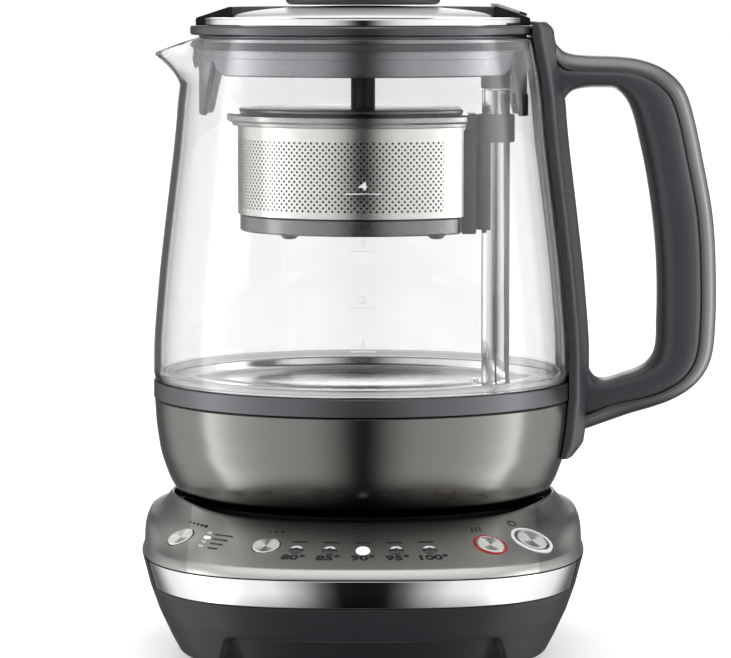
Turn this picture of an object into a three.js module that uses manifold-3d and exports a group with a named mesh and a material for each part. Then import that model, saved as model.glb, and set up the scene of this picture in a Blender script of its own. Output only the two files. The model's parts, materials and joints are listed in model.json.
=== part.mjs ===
// Automatic tea maker: a glass jug with a heated steel foot, a travelling leaf basket on a pole,
// a lift-out lid and a D-handle, standing on a power base with a sloping control panel.
// Units are millimetres, +Z is up, and the front of the machine faces -Y.

import * as THREE from 'three';
import { mergeVertices } from 'three/addons/utils/BufferGeometryUtils.js';
import Module from 'manifold-3d';

const wasm = await Module();
wasm.setup();

// Clearances and overruns

const seat = 0.3;
const running = 0.35;
const overrun = 4;
const weld = 0.001;

// Driving dimensions: reaches of the jug's and the base's round parts from the jug's axis

const glassRadius = 78;
const glassWall = 2.5;
const glassRimInset = 13.5;
const glassRimRadius = glassRadius - glassRimInset;
const spoutReach = 13.5;
const spoutHalfAngle = 24;
const spoutDip = 6;
const bandInset = 2.8;
const bandLedge = 1.3;
const bandLedgeDrop = 1.4;
const shellStep = 0.3;
const shellRadius = glassRadius - shellStep;
const shellFootInset = 10.2;
const shellFootRadius = shellRadius - shellFootInset;
const shellWall = 1.2;
const hotPlateInset = 3.4;
const hotPlateRadius = glassRadius - hotPlateInset;
const hotPlateSlope = 8.6;
const hotPlateFloorRadius = hotPlateRadius - hotPlateSlope;
const wellGap = 3;
const wellRadius = shellFootRadius + wellGap;
const wellSlope = 7.5;
const wellFloorRadius = wellRadius - wellSlope;
const deckSideReach = 11.3;
const baseHalfWidth = wellRadius + deckSideReach;
const deckFrontReach = 29.5;
const baseFront = wellRadius + deckFrontReach;
const deckBackReach = 9.5;
const baseBack = wellRadius + deckBackReach;

// Driving dimensions: heights, from the table up

const footHeight = 1.5;
const lipHeight = 41.4;
const deckRise = 13.8;
const wellEdgeHeight = lipHeight + deckRise;
const wellDepth = 8.2;
const wellFloorHeight = wellEdgeHeight - wellDepth;
const shellLift = 1;
const shellBottom = wellEdgeHeight + shellLift;
const shellHeight = 36.8;
const shellTop = shellBottom + shellHeight;
const bandHeight = 6.7;
const bandBottom = shellTop + seat;
const bandTop = bandBottom + bandHeight;
const glassBottom = bandTop + seat;
const glassHeight = 126.7;
const glassTop = glassBottom + glassHeight;
const spoutRise = 21;
const spoutRootHeight = glassTop - spoutRise;

// Driving dimensions: power base

const frontSquareness = 2.9;
const backSquareness = 2.8;
const baseWall = 2.6;
const footRadius = 7;
const footSideInset = 31.8;
const footSpread = baseHalfWidth - footSideInset;
const footFrontInset = 38;
const footFront = baseFront - footFrontInset;
const footBackInset = 36;
const footBack = baseBack - footBackInset;
const lipDepth = 2.8;
const lipRound = 0.9;
const crestWidth = 1;
const crestRise = 2.8;
const crestDrop = 0.8;
const deckInnerDrop = 7;
const frontBandHeight = 10;
const frontBandThickness = 1.4;
const frontBandAngle = 56;
const bandEndAngle = 1;
const toeHeight = 13;
const toeDepth = 5;
const toeStep = 0.6;
const toeAngle = 30;
const toeRampAngle = 5;
const plateThickness = 2.4;
const boardSideInset = 33.8;
const boardHalfWidth = baseHalfWidth - boardSideInset;
const boardBackInset = 49;
const boardHalfDepth = baseBack - boardBackInset;
const boardThickness = 1.6;
const bossRadius = 3.5;
const bossHeight = 5.5;
const bossSideInset = 10;
const bossEndInset = 7;
const glandRadius = 5.5;
const glandFlange = 7.5;
const glandFlangeThickness = 1.6;
const glandLength = 8;
const glandDimpleRadius = 1.9;
const glandDimpleDepth = 3;
const glandHeight = 16;
const linerWall = 2.4;
const linerRim = 1.6;

// Driving dimensions: controls, placed by angle from the front and by share up the panel slope

const buttonRadius = 4.9;
const startButtonRadius = 5.6;
const ringWidth = 1.7;
const ringStand = 0.5;
const buttonStand = 0.8;
const buttonDish = 0.35;
const buttonTravel = 0.8;
const buttonFlangeWidth = 1;
const buttonFlangeThickness = 1;
const buttonStemRadius = 1.8;
const buttonStemLength = 3.2;
const switchSide = 6;
const switchHeight = 3.4;
const carrierThickness = 2;
const carrierHalfAngle = 58;
const lensRadius = 2.3;
const smallLensLength = 3;
const smallLensHeight = 1.1;
const guideThickness = 1.6;
const guideDrop = 4.8;
const guideHalfWidth = 2.6;
const strengthButtonAngle = -49.2;
const selectButtonAngle = -23.1;
const warmButtonAngle = 30.9;
const startButtonAngle = 43.9;
const strengthLensAngle = -40.2;
const temperatureLensPitch = 7.6;
const temperatureLensCount = 5;
const strengthLensCount = 4;
const strengthButtonShare = 0.434;
const selectButtonShare = 0.492;
const warmButtonShare = 0.465;
const startButtonShare = 0.436;
const temperatureLensShare = 0.487;
const strengthLensLowShare = 0.377;
const strengthLensStepShare = 0.088;

// Driving dimensions: what is under the jug's floor, and the plug and socket

const hotPlateDepth = 4.8;
const hotPlateThickness = 1.5;
const glassSealHeight = 2.5;
const glassSealWidth = 2.2;
const elementInset = 33;
const elementRadius = hotPlateFloorRadius - elementInset;
const elementTube = 3.4;
const elementArc = 320;
const thermostatRadius = 13.5;
const plugRadius = 15.2;
const plugFlangeWidth = 8.8;
const plugFlangeRadius = plugRadius + plugFlangeWidth;
const plugFlangeThickness = 4;
const plugPinRadius = 3;
const plugPinHeight = 1.1;
const plugClearance = 0.8;
const plugTopGap = 1.5;
const connectorBore = plugRadius + plugClearance;
const connectorWall = 4.7;
const connectorRadius = connectorBore + connectorWall;
const connectorMouthGap = 3;
const connectorMouth = wellFloorHeight + connectorMouthGap;
const connectorHeight = 16;
const connectorTop = connectorMouth + connectorHeight;
const connectorCeiling = 5;
const plugTop = connectorTop - connectorCeiling - plugTopGap;
const coverRecessRadius = connectorRadius + seat;
const coverSlope = 6;
const coverFootRadius = shellFootRadius - coverSlope;
const coverRise = 3.8;
const coverTop = shellBottom + coverRise;

// Driving dimensions: pole and drive

const poleInset = 28.7;
const poleX = glassRadius - poleInset;
const poleHalfWidth = 5.2;
const poleHalfDepth = 4.6;
const poleWall = 0.9;
const poleLift = 0.4;
const poleTopDrop = 19.8;
const poleTop = glassTop - poleTopDrop;
const poleCapHeight = 7;
const poleCapOverhang = 0.3;
const poleSealWidth = 1.5;
const poleSealHeight = 2;
const motorRadius = 8.5;
const motorHeight = 24;
const screwRadius = 1.6;
const screwClearance = 0.5;
const magnetRadius = 3.2;
const probeRadius = 1.4;
const probeHeight = 5;
const probeFlangeRadius = 4;
const probeFlangeThickness = 1.2;
const probeOffset = 8.3;
const probeX = poleX - probeOffset;
const probeY = -17;

// Driving dimensions: leaf basket and carriage

const carriageWall = 1.6;
const carriageCheek = 2.4;
const spineGap = 0.45;
const spineThickness = 5;
const spineHalfWidth = 6;
const basketChord = poleX - poleHalfWidth - running - carriageWall - spineGap - spineThickness - seat;
const basketFlatDepth = 10.1;
const basketRadius = basketChord + basketFlatDepth;
const basketWall = 0.8;
const basketDrop = 31.6;
const basketWallTop = glassTop - basketDrop;
const basketHeight = 40.1;
const basketBottom = basketWallTop - basketHeight;
const basketFloorHeight = 6;
const basketFloorThickness = 1.2;
const basketFootHeight = 1.5;
const basketFootLength = 7;
const basketFootWidth = 3;
const holeRadius = 2.2;
const holeRise = 8.4;
const holeRows = 3;
const rimOverhang = 4;
const rimRadius = basketRadius + rimOverhang;
const rimHeight = 3.1;
const rimSkirtDepth = 2.7;
const rimSkirtWidth = 2.1;
const rimSkirtRadius = basketRadius + rimSkirtWidth;
const rimLip = 2.5;
const rimHoleRadius = basketRadius - rimLip;
const rimFlatWidth = 2.2;
const rimChord = basketChord + rimFlatWidth;
const basketLidInset = 0.5;
const basketLidRadius = basketRadius - basketLidInset;
const basketLidThickness = 1.5;
const stemRadius = 4.5;
const stemHeight = 11.4;
const spineBottom = basketBottom - basketFootHeight;
const spineTop = basketWallTop - rimSkirtDepth - seat;
const carriageRise = 2.8;
const carriageTop = basketWallTop + carriageRise;
const collarHeight = 10.4;
const carriageCollarBottom = carriageTop - collarHeight;
const carriageBottom = basketBottom;

// Driving dimensions: lid

const lidInset = 0.5;
const lidRadius = glassRimRadius - lidInset;
const lidLift = 0.5;
const lidCollarBottom = glassTop + lidLift;
const lidCollarThickness = 3.6;
const lidCollarTop = lidCollarBottom + lidCollarThickness;
const lidCollarRound = 0.8;
const skirtGap = 1.2;
const skirtRadius = glassRimRadius - glassWall - skirtGap;
const skirtWall = 1.8;
const skirtFlangeWidth = 6;
const skirtDrop = 14.2;
const skirtBottom = glassTop - skirtDrop;
const skirtTabDrop = 28.8;
const skirtTabBottom = glassTop - skirtTabDrop;
const skirtNotchDrop = 8.6;
const skirtNotchTop = glassTop - skirtNotchDrop;
const skirtTabAngle = 17;
const skirtNotchAngle = 28;
const skirtShoulderAngle = 34;
const lidSealWidth = skirtGap - seat - seat;
const lidSealHeight = 3;
const lidSealDrop = 5;
const lidSealBottom = glassTop - lidSealDrop;
const rearRimInset = 2;
const rearRimRadius = lidRadius - rearRimInset;
const domeInset = 5;
const domeRadius = lidRadius - domeInset;
const domeTierInset = 16.4;
const domeTierRadius = lidRadius - domeTierInset;
const domeTierHeight = 2.9;
const domeHeight = 7.3;
const rearRimGap = 0.8;
const rearRimInner = domeTierRadius + rearRimGap;
const rearRimStep = 2.7;
const rearRimHeight = 6.8;
const rearRimTopWidth = 1.2;
const knobRadius = 28.6;
const knobHeight = 13;
const knobRound = 2.2;
const tabStand = 1.1;
const tabFromAngle = 5;
const tabToAngle = 17;
const tabInnerInset = 12;
const tabOuterInset = 0.7;

// Driving dimensions: handle

const gripStandOff = 53.4;
const gripReach = glassRadius + gripStandOff;
const handleRootInset = 4;
const handleRoot = glassRadius - handleRootInset;
const handleRise = 25.4;
const handleBottom = shellBottom + handleRise;
const handleDrop = 6.4;
const handleTop = glassTop - handleDrop;
const gripHalfWidth = 13;
const armHalfWidth = 11;
const trimThickness = 6;
const trimHalfWidth = 10.4;
const bracketHalfWidth = 19;
const bracketRise = 15.2;
const bracketBottom = shellBottom + bracketRise;
const bracketOvertop = 5.3;
const bracketTop = glassTop + bracketOvertop;
const bracketDepth = 6.6;

// Counts

const roundSides = 36;
const baseSides = 44;
const smallSides = 12;
const sectionSides = 12;
const lensSides = 8;
const basketSegments = 18;
const skirtSides = 40;
const gripSteps = 22;

// Shares that shape each outline

const lowerBodyShares = [
  [0, 0.8], [0.045, 0.842], [0.19, 0.875], [0.44, 0.926], [0.69, 0.965], [1, 1],
];
const sideHeightShares = [0, 0.217, 0.4, 0.53, 0.62, 0.69, 0.78, 0.92, 1];
const sideReachShares = [1, 0.99, 0.965, 0.91, 0.8, 0.58, 0.33, 0.1, 0];
const glassDrawShares = [
  [0, 0], [0.12, 0], [0.19, 0.069], [0.3, 0.15], [0.5, 0.37], [0.7, 0.6], [0.86, 0.728], [1, 1],
];
const shellShares = [
  [0, 0], [0.076, 0.245], [0.158, 0.47], [0.266, 0.657], [0.51, 0.833], [1, 1],
];
const gripInnerShares = [
  [0.014, 0.912], [0.243, 0.91], [0.347, 0.905], [0.424, 0.873], [0.465, 0.83],
  [0.493, 0.783], [0.538, 0.701], [0.59, 0.564], [0.618, 0.42], [0.618, 0.276],
  [0.601, 0.199], [0.53, 0.165], [0.399, 0.144], [0.278, 0.13], [0.175, 0.118],
];
const gripOuterShares = [
  [0, 1], [0.243, 0.994], [0.451, 0.988], [0.642, 0.962], [0.773, 0.914],
  [0.844, 0.84], [0.908, 0.721], [0.976, 0.571], [1, 0.42], [0.997, 0.262],
  [0.965, 0.174], [0.868, 0.114], [0.694, 0.069], [0.451, 0.037], [0.168, 0],
];
const spoutLevelShares = [0.6];
const domeShares = [[1, 0], [0.86, 0.36], [0.6, 0.72], [0.3, 0.94], [0, 1]];
const bracketSectionShares = [[1, 0.34], [0.92, 0.5], [0.5, 0.9], [0, 1]];

// Helpers: closed meshes, booleans and placing

function outward(geometry) {
  const p = geometry.attributes.position;
  const index = geometry.index.array;
  let volume = 0;
  const a = new THREE.Vector3();
  const b = new THREE.Vector3();
  const c = new THREE.Vector3();
  for (let i = 0; i < index.length; i += 3) {
    a.fromBufferAttribute(p, index[i]);
    b.fromBufferAttribute(p, index[i + 1]);
    c.fromBufferAttribute(p, index[i + 2]);
    volume += a.dot(b.cross(c));
  }
  if (volume < 0) {
    const flipped = Array.from(index);
    for (let i = 0; i < flipped.length; i += 3) {
      [flipped[i + 1], flipped[i + 2]] = [flipped[i + 2], flipped[i + 1]];
    }
    geometry.setIndex(flipped);
  }
  return geometry;
}

function closed(geometry) {
  const bare = new THREE.BufferGeometry();
  bare.setAttribute('position', geometry.attributes.position.clone());
  if (geometry.index) bare.setIndex(Array.from(geometry.index.array));
  const merged = mergeVertices(bare, weld);
  const kept = [];
  const index = merged.index.array;
  for (let i = 0; i < index.length; i += 3) {
    const [u, v, w] = [index[i], index[i + 1], index[i + 2]];
    if (u !== v && v !== w && w !== u) kept.push(u, v, w);
  }
  merged.setIndex(kept);
  return outward(merged);
}

function toSolid(geometry) {
  const tidy = closed(geometry);
  return new wasm.Manifold(new wasm.Mesh({
    numProp: 3,
    vertProperties: new Float32Array(tidy.attributes.position.array),
    triVerts: new Uint32Array(tidy.index.array),
  }));
}

function fromSolid(solid) {
  const mesh = solid.getMesh();
  const geometry = new THREE.BufferGeometry();
  geometry.setAttribute('position', new THREE.BufferAttribute(new Float32Array(mesh.vertProperties), 3));
  geometry.setIndex(Array.from(mesh.triVerts));
  return geometry;
}

function cut(geometry, ...tools) {
  return fromSolid(tools.reduce((solid, tool) => solid.subtract(toSolid(tool)), toSolid(geometry)));
}

function join(geometry, ...others) {
  return fromSolid(others.reduce((solid, other) => solid.add(toSolid(other)), toSolid(geometry)));
}

// A turned piece: its profile holds [radius, height] pairs and starts and ends on the axis.
function turned(profile, sides = roundSides) {
  const points = profile.map(([radius, height]) => new THREE.Vector2(radius, height));
  const lathe = new THREE.LatheGeometry(points, sides);
  lathe.rotateX(Math.PI / 2);
  return closed(lathe);
}

// A turned ring: its profile is closed on itself, away from the axis.
function turnedRing(profile, sides = roundSides) {
  return turned([...profile, profile[0]], sides);
}

function disc(radius, bottom, top, sides = roundSides) {
  return turned([[0, bottom], [radius, bottom], [radius, top], [0, top]], sides);
}

function tube(outer, inner, bottom, top, sides = roundSides) {
  return turnedRing([[outer, bottom], [outer, top], [inner, top], [inner, bottom]], sides);
}

function block(width, depth, height, x, y, z) {
  const box = new THREE.BoxGeometry(width, depth, height);
  box.translate(x, y, z);
  return closed(box);
}

function upright(shape, bottom, top, curveSegments = sectionSides) {
  const prism = new THREE.ExtrudeGeometry(shape, { depth: top - bottom, bevelEnabled: false, curveSegments });
  prism.translate(0, 0, bottom);
  return closed(prism);
}

// A skin over closed sections of equal point counts, looped round or capped at its two ends.
function skin(sections, looped) {
  const count = sections[0].length;
  const points = sections.flat();
  const faces = [];
  const rings = looped ? sections.length : sections.length - 1;
  for (let i = 0; i < rings; i += 1) {
    const here = i * count;
    const next = ((i + 1) % sections.length) * count;
    for (let k = 0; k < count; k += 1) {
      const side = (k + 1) % count;
      faces.push(here + k, next + k, next + side, here + k, next + side, here + side);
    }
  }
  if (!looped) {
    [0, sections.length - 1].forEach((end) => {
      const middle = sections[end].reduce((sum, p) => sum.add(p), new THREE.Vector3()).divideScalar(count);
      points.push(middle);
      const hub = points.length - 1;
      for (let k = 0; k < count; k += 1) {
        const [first, second] = [end * count + k, end * count + ((k + 1) % count)];
        faces.push(...(end === 0 ? [hub, first, second] : [hub, second, first]));
      }
    });
  }
  const geometry = new THREE.BufferGeometry().setFromPoints(points);
  geometry.setIndex(faces);
  return closed(geometry);
}

// A section in radius and height, swept round the jug axis through a range of angles.
function swept(sectionAt, from = 0, to = 2 * Math.PI, steps = baseSides) {
  const looped = to - from > 2 * Math.PI - weld;
  const sections = [];
  for (let i = 0; i < (looped ? steps : steps + 1); i += 1) {
    const angle = from + ((to - from) * i) / steps;
    sections.push(sectionAt(angle).map(([radius, height]) => new THREE.Vector3(
      radius * Math.cos(angle),
      radius * Math.sin(angle),
      height,
    )));
  }
  return skin(sections, looped);
}

function mix(a, b, share) {
  return a + (b - a) * share;
}

function smooth(share) {
  const t = Math.min(Math.max(share, 0), 1);
  return t * t * (3 - 2 * t);
}

function radians(degrees) {
  return (degrees * Math.PI) / 180;
}

function alongTable(shares, position) {
  const last = shares.length - 1;
  const place = Math.min(Math.max(position, 0), 1) * last;
  const low = Math.min(Math.floor(place), last - 1);
  return mix(shares[low], shares[low + 1], place - low);
}

function shareAtHeight(shares, height) {
  const next = shares.findIndex(([level]) => level >= height);
  if (next < 0) return shares[shares.length - 1][1];
  if (next === 0) return shares[0][1];
  const [low, high] = [shares[next - 1], shares[next]];
  return mix(low[1], high[1], (height - low[0]) / (high[0] - low[0]));
}

// The model's scene graph

const teaMaker = new THREE.Group();

function piece(name, geometry, color, roughness, metalness, extra = {}) {
  const material = new THREE.MeshStandardMaterial({ color, roughness, metalness, ...extra });
  const mesh = new THREE.Mesh(geometry, material);
  mesh.name = name;
  teaMaker.add(mesh);
  return mesh;
}

// Power base: the plan is a squared oval, fuller towards the front panel

const lipBottom = lipHeight - lipDepth;
const crestRadius = wellRadius + crestWidth;
const frontAngle = -Math.PI / 2;
const flatPanelAngle = 40;
const sidePanelAngle = 76;

function outline(angle) {
  const front = Math.sin(angle) < 0;
  const power = front ? frontSquareness : backSquareness;
  const across = Math.abs(Math.cos(angle)) / baseHalfWidth;
  const along = Math.abs(Math.sin(angle)) / (front ? baseFront : baseBack);
  return (across ** power + along ** power) ** (-1 / power);
}

function fromFront(angle) {
  const turn = Math.atan2(Math.sin(angle - frontAngle), Math.cos(angle - frontAngle));
  return Math.abs((turn * 180) / Math.PI);
}

function panelShare(angle) {
  return 1 - smooth((fromFront(angle) - flatPanelAngle) / (sidePanelAngle - flatPanelAngle));
}

function crestHeight(angle) {
  return wellEdgeHeight + crestRise * (1 - panelShare(angle));
}

function deckPoint(angle, share) {
  const flat = panelShare(angle);
  const reach = mix(alongTable(sideReachShares, share), 1 - share, flat);
  const rise = mix(alongTable(sideHeightShares, share), share, flat);
  const radius = mix(crestRadius, outline(angle) - lipRound, reach);
  return [radius, mix(lipHeight, crestHeight(angle), rise)];
}

function deckSection(angle) {
  const edge = outline(angle);
  const outerShares = [0, 0.25, 0.5, 0.625, 0.75, 0.9, 1];
  const innerShares = [0.7, 0];
  const innerLimit = wellRadius + baseWall;
  const inner = innerShares.map((share) => {
    const [radius, height] = deckPoint(angle, share);
    return [Math.max(radius - baseWall, innerLimit), height - baseWall];
  });
  return [
    [edge, lipBottom],
    [edge, lipHeight - lipRound],
    ...outerShares.map((share) => deckPoint(angle, share)),
    [wellRadius, crestHeight(angle) - crestDrop],
    [wellRadius, wellEdgeHeight - deckInnerDrop],
    [innerLimit, wellEdgeHeight - deckInnerDrop],
    ...inner,
    [edge - baseWall, lipBottom],
  ];
}

// The local frame of a control on the panel: X level along the panel, Z square out of it.
function panelFrame(degrees, share) {
  const angle = frontAngle + radians(degrees);
  const at = (turn, slope) => {
    const [radius, height] = deckPoint(turn, slope);
    return new THREE.Vector3(radius * Math.cos(turn), radius * Math.sin(turn), height);
  };
  const nudgeShare = 0.02;
  const origin = at(angle, share);
  const along = at(angle + nudgeShare, share).sub(at(angle - nudgeShare, share)).normalize();
  const slope = at(angle, share + nudgeShare).sub(at(angle, share - nudgeShare)).normalize();
  const normal = along.clone().cross(slope).normalize();
  const up = normal.clone().cross(along);
  return new THREE.Matrix4().makeBasis(along, up, normal).setPosition(origin);
}

function onPanel(geometry, degrees, share) {
  return closed(geometry.clone().applyMatrix4(panelFrame(degrees, share)));
}

const controls = [
  { name: 'strength', degrees: strengthButtonAngle, share: strengthButtonShare, radius: buttonRadius },
  { name: 'temperature', degrees: selectButtonAngle, share: selectButtonShare, radius: buttonRadius },
  { name: 'warm', degrees: warmButtonAngle, share: warmButtonShare, radius: buttonRadius, ringed: true },
  {
    name: 'start',
    degrees: startButtonAngle,
    share: startButtonShare,
    radius: startButtonRadius,
    ringed: true,
  },
];

function openingRadius(control) {
  return control.radius + running + (control.ringed ? ringWidth + seat : 0);
}

const temperatureLensAngles = Array.from(
  { length: temperatureLensCount },
  (_, i) => (i - (temperatureLensCount - 1) / 2) * temperatureLensPitch,
);
const strengthLensShares = Array.from(
  { length: strengthLensCount },
  (_, i) => strengthLensLowShare + i * strengthLensStepShare,
);

function roundLens(clearance, bottom, top) {
  return disc(lensRadius + clearance, bottom, top, lensSides);
}

function barLens(clearance, bottom, top) {
  const bar = new THREE.Shape();
  const half = smallLensHeight / 2 + clearance;
  const reach = smallLensLength / 2 - smallLensHeight / 2;
  bar.absarc(reach, 0, half, -Math.PI / 2, Math.PI / 2, false);
  bar.absarc(-reach, 0, half, Math.PI / 2, (3 * Math.PI) / 2, false);
  return upright(bar, bottom, top, 3);
}

function deckCover() {
  const shell = swept(deckSection);
  const buttonHoles = controls.map((control) => onPanel(
    disc(openingRadius(control), -guideDrop * 2, overrun, smallSides),
    control.degrees,
    control.share,
  ));
  const lensHoles = temperatureLensAngles.map((degrees) => onPanel(
    roundLens(seat, -guideDrop * 2, overrun),
    degrees,
    temperatureLensShare,
  ));
  const smallHoles = strengthLensShares.map((share) => onPanel(
    barLens(seat, -guideDrop * 2, overrun),
    strengthLensAngle,
    share,
  ));
  return cut(shell, ...buttonHoles, ...lensHoles, ...smallHoles);
}

// Lower housing, its chrome front band and the plate that closes it underneath

const housingTop = lipBottom - seat;
const housingBottom = footHeight + seat;
const frontBandTop = housingTop;
const frontBandBottom = frontBandTop - frontBandHeight;

function bodyRadius(angle, height) {
  const rise = (height - housingBottom) / (housingTop - housingBottom);
  return outline(angle) * shareAtHeight(lowerBodyShares, rise);
}

// The wall steps in over the toe, an arch cut low across the front between the two corners.
function toeShare(angle) {
  return 1 - smooth((fromFront(angle) - toeAngle) / toeRampAngle);
}

function toeInset(angle) {
  return toeDepth * toeShare(angle);
}

function housingSection(angle) {
  const levels = lowerBodyShares.map(([rise]) => mix(housingBottom, housingTop, rise));
  const toeTop = mix(levels[1], housingBottom + toeHeight, toeShare(angle));
  const toeUnder = toeTop - toeStep;
  const upper = levels.slice(2).map((height, i) => Math.max(height, toeTop + toeStep * (i + 1)));
  const outer = [toeTop, ...upper].map((height) => [bodyRadius(angle, height), height]);
  const recess = [housingBottom, toeUnder].map((height) => [
    bodyRadius(angle, height) - toeInset(angle),
    height,
  ]);
  const innerTop = [bodyRadius(angle, housingTop) - baseWall, housingTop];
  const ledge = toeTop + baseWall;
  const innerWall = [bodyRadius(angle, ledge) - baseWall, ledge];
  const innerRecess = [toeUnder + baseWall, housingBottom].map((height) => [
    bodyRadius(angle, height) - toeInset(angle) - baseWall,
    height,
  ]);
  return [...recess, ...outer, innerTop, innerWall, ...innerRecess];
}

function bandSection(extra, outerExtra) {
  const middle = mix(frontBandBottom, frontBandTop, 0.5);
  const high = frontBandTop + extra;
  const low = frontBandBottom - extra;
  const depth = frontBandThickness + extra;
  return (angle) => [
    [bodyRadius(angle, low) + outerExtra, low],
    [bodyRadius(angle, middle) + outerExtra, middle],
    [bodyRadius(angle, high) + outerExtra, high],
    [bodyRadius(angle, high) - depth, high],
    [bodyRadius(angle, low) - depth, low],
  ];
}

function frontBand(extra, outerExtra, extraAngle) {
  const half = radians(frontBandAngle + extraAngle);
  return swept(bandSection(extra, outerExtra), frontAngle - half, frontAngle + half, sectionSides * 2);
}

function glandBore(radius, from, to) {
  const bore = disc(radius, from, to, smallSides);
  bore.rotateX(-Math.PI / 2);
  bore.translate(0, 0, glandHeight);
  return closed(bore);
}

const glandFace = bodyRadius(Math.PI / 2, glandHeight - glandFlange);

function lowerHousing() {
  const wall = swept(housingSection);
  const gland = glandBore(glandRadius + seat, glandFace - glandLength, glandFace + overrun * 3);
  return cut(wall, frontBand(seat, overrun, bandEndAngle), gland);
}

function cordGland() {
  const inside = glandFace - glandLength;
  const outside = bodyRadius(Math.PI / 2, glandHeight + glandFlange) + seat;
  const face = outside + glandFlangeThickness;
  const profile = [
    [0, inside],
    [glandRadius, inside],
    [glandRadius, outside],
    [glandFlange, outside],
    [glandFlange, face],
    [glandDimpleRadius, face],
    [glandDimpleRadius, face - glandDimpleDepth],
    [0, face - glandDimpleDepth],
  ];
  const gland = turned(profile, smallSides);
  gland.rotateX(-Math.PI / 2);
  gland.translate(0, 0, glandHeight);
  return closed(gland);
}

function bottomPlate() {
  const points = [];
  for (let i = 0; i < baseSides; i += 1) {
    const angle = (2 * Math.PI * i) / baseSides;
    const radius = bodyRadius(angle, housingBottom) - toeInset(angle) - baseWall - seat;
    points.push(new THREE.Vector2(radius * Math.cos(angle), radius * Math.sin(angle)));
  }
  const sheet = upright(new THREE.Shape(points), housingBottom, housingBottom + plateThickness);
  const top = housingBottom + plateThickness;
  const bosses = [-1, 1].flatMap((x) => [-1, 1].map((y) => {
    const boss = disc(bossRadius, top - plateThickness / 2, top + bossHeight, sectionSides);
    boss.translate(x * (boardHalfWidth - bossSideInset), y * (boardHalfDepth - bossEndInset), 0);
    return boss;
  }));
  return join(sheet, ...bosses);
}

const footPlaces = [
  [-footSpread, -footFront],
  [footSpread, -footFront],
  [-footSpread, footBack],
  [footSpread, footBack],
];

function rubberFoot(x, y) {
  const foot = disc(footRadius, 0, footHeight, smallSides);
  foot.translate(x, y, 0);
  return closed(foot);
}

function controlBoard() {
  const bottom = housingBottom + plateThickness + bossHeight + seat;
  return block(boardHalfWidth * 2, boardHalfDepth * 2, boardThickness, 0, 0, bottom + boardThickness / 2);
}

// Well and power connector

function wellLiner() {
  const bottom = wellFloorHeight - linerWall;
  const outside = wellRadius - seat;
  const rim = wellEdgeHeight - linerRim;
  return turnedRing([
    [outside, rim],
    [outside, bottom + linerWall],
    [wellFloorRadius + linerWall, bottom],
    [plugRadius + seat, bottom],
    [plugRadius + seat, wellFloorHeight],
    [wellFloorRadius, wellFloorHeight],
    [outside - linerWall, bottom + linerWall * 2.5],
    [outside - linerWall, rim],
  ]);
}

function powerConnector() {
  const under = wellFloorHeight - linerWall - seat;
  return turned([
    [0, under - plugFlangeThickness],
    [plugFlangeRadius, under - plugFlangeThickness],
    [plugFlangeRadius, under],
    [plugRadius, under],
    [plugRadius, plugTop],
    [plugPinRadius, plugTop],
    [plugPinRadius, plugTop + plugPinHeight],
    [0, plugTop + plugPinHeight],
  ], sectionSides * 2);
}

// Buttons, their light rings, switches and light guides

const coverDepth = guideDrop;

function pushButton(control) {
  const flange = -coverDepth - buttonTravel / 2;
  const flangeRadius = openingRadius(control) + buttonFlangeWidth;
  const tip = flange - buttonFlangeThickness - buttonStemLength;
  const body = turned([
    [0, tip],
    [buttonStemRadius, tip],
    [buttonStemRadius, flange - buttonFlangeThickness],
    [flangeRadius, flange - buttonFlangeThickness],
    [flangeRadius, flange],
    [control.radius, flange],
    [control.radius, buttonStand - buttonDish],
    [control.radius - buttonDish, buttonStand],
    [0, buttonStand - buttonDish],
  ], smallSides);
  return onPanel(body, control.degrees, control.share);
}

function tipDepth() {
  return coverDepth + buttonTravel / 2 + buttonFlangeThickness + buttonStemLength;
}

const switchTop = -tipDepth() - buttonTravel - seat / 2;

function tactSwitch(control) {
  const box = block(switchSide, switchSide, switchHeight, 0, 0, switchTop - switchHeight / 2);
  return onPanel(box, control.degrees, control.share);
}

function lightRing(control) {
  const inner = control.radius + running;
  const ring = tube(inner + ringWidth, inner, -coverDepth + buttonTravel, ringStand, smallSides);
  return onPanel(ring, control.degrees, control.share);
}

function carrierSection(angle) {
  const top = -switchTop + switchHeight + seat;
  const offset = (share, depth) => {
    const [radius, height] = deckPoint(angle, share);
    const [nextRadius, nextHeight] = deckPoint(angle, share + 0.1);
    const run = radius - nextRadius;
    const rise = nextHeight - height;
    const length = Math.hypot(run, rise);
    return [radius - (depth * rise) / length, height - (depth * run) / length];
  };
  return [
    offset(0.22, top),
    offset(0.7, top),
    offset(0.7, top + carrierThickness),
    offset(0.22, top + carrierThickness),
  ];
}

function switchCarrier() {
  const half = radians(carrierHalfAngle);
  return swept(carrierSection, frontAngle - half, frontAngle + half, sectionSides);
}

function temperatureLightGuide() {
  const spread = radians(((temperatureLensCount - 1) / 2) * temperatureLensPitch + 2);
  const section = (angle) => {
    const [radius, height] = deckPoint(angle, temperatureLensShare);
    const [r, z] = [radius, height - coverDepth];
    return [
      [r + guideHalfWidth, z - guideHalfWidth * 0.47],
      [r - guideHalfWidth, z + guideHalfWidth * 0.47],
      [r - guideHalfWidth, z + guideHalfWidth * 0.47 - guideThickness],
      [r + guideHalfWidth, z - guideHalfWidth * 0.47 - guideThickness],
    ];
  };
  const bar = swept(section, frontAngle - spread, frontAngle + spread, sectionSides);
  const lenses = temperatureLensAngles.map((degrees) => onPanel(
    roundLens(0, -coverDepth, ringStand / 2),
    degrees,
    temperatureLensShare,
  ));
  return join(bar, ...lenses);
}

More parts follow.
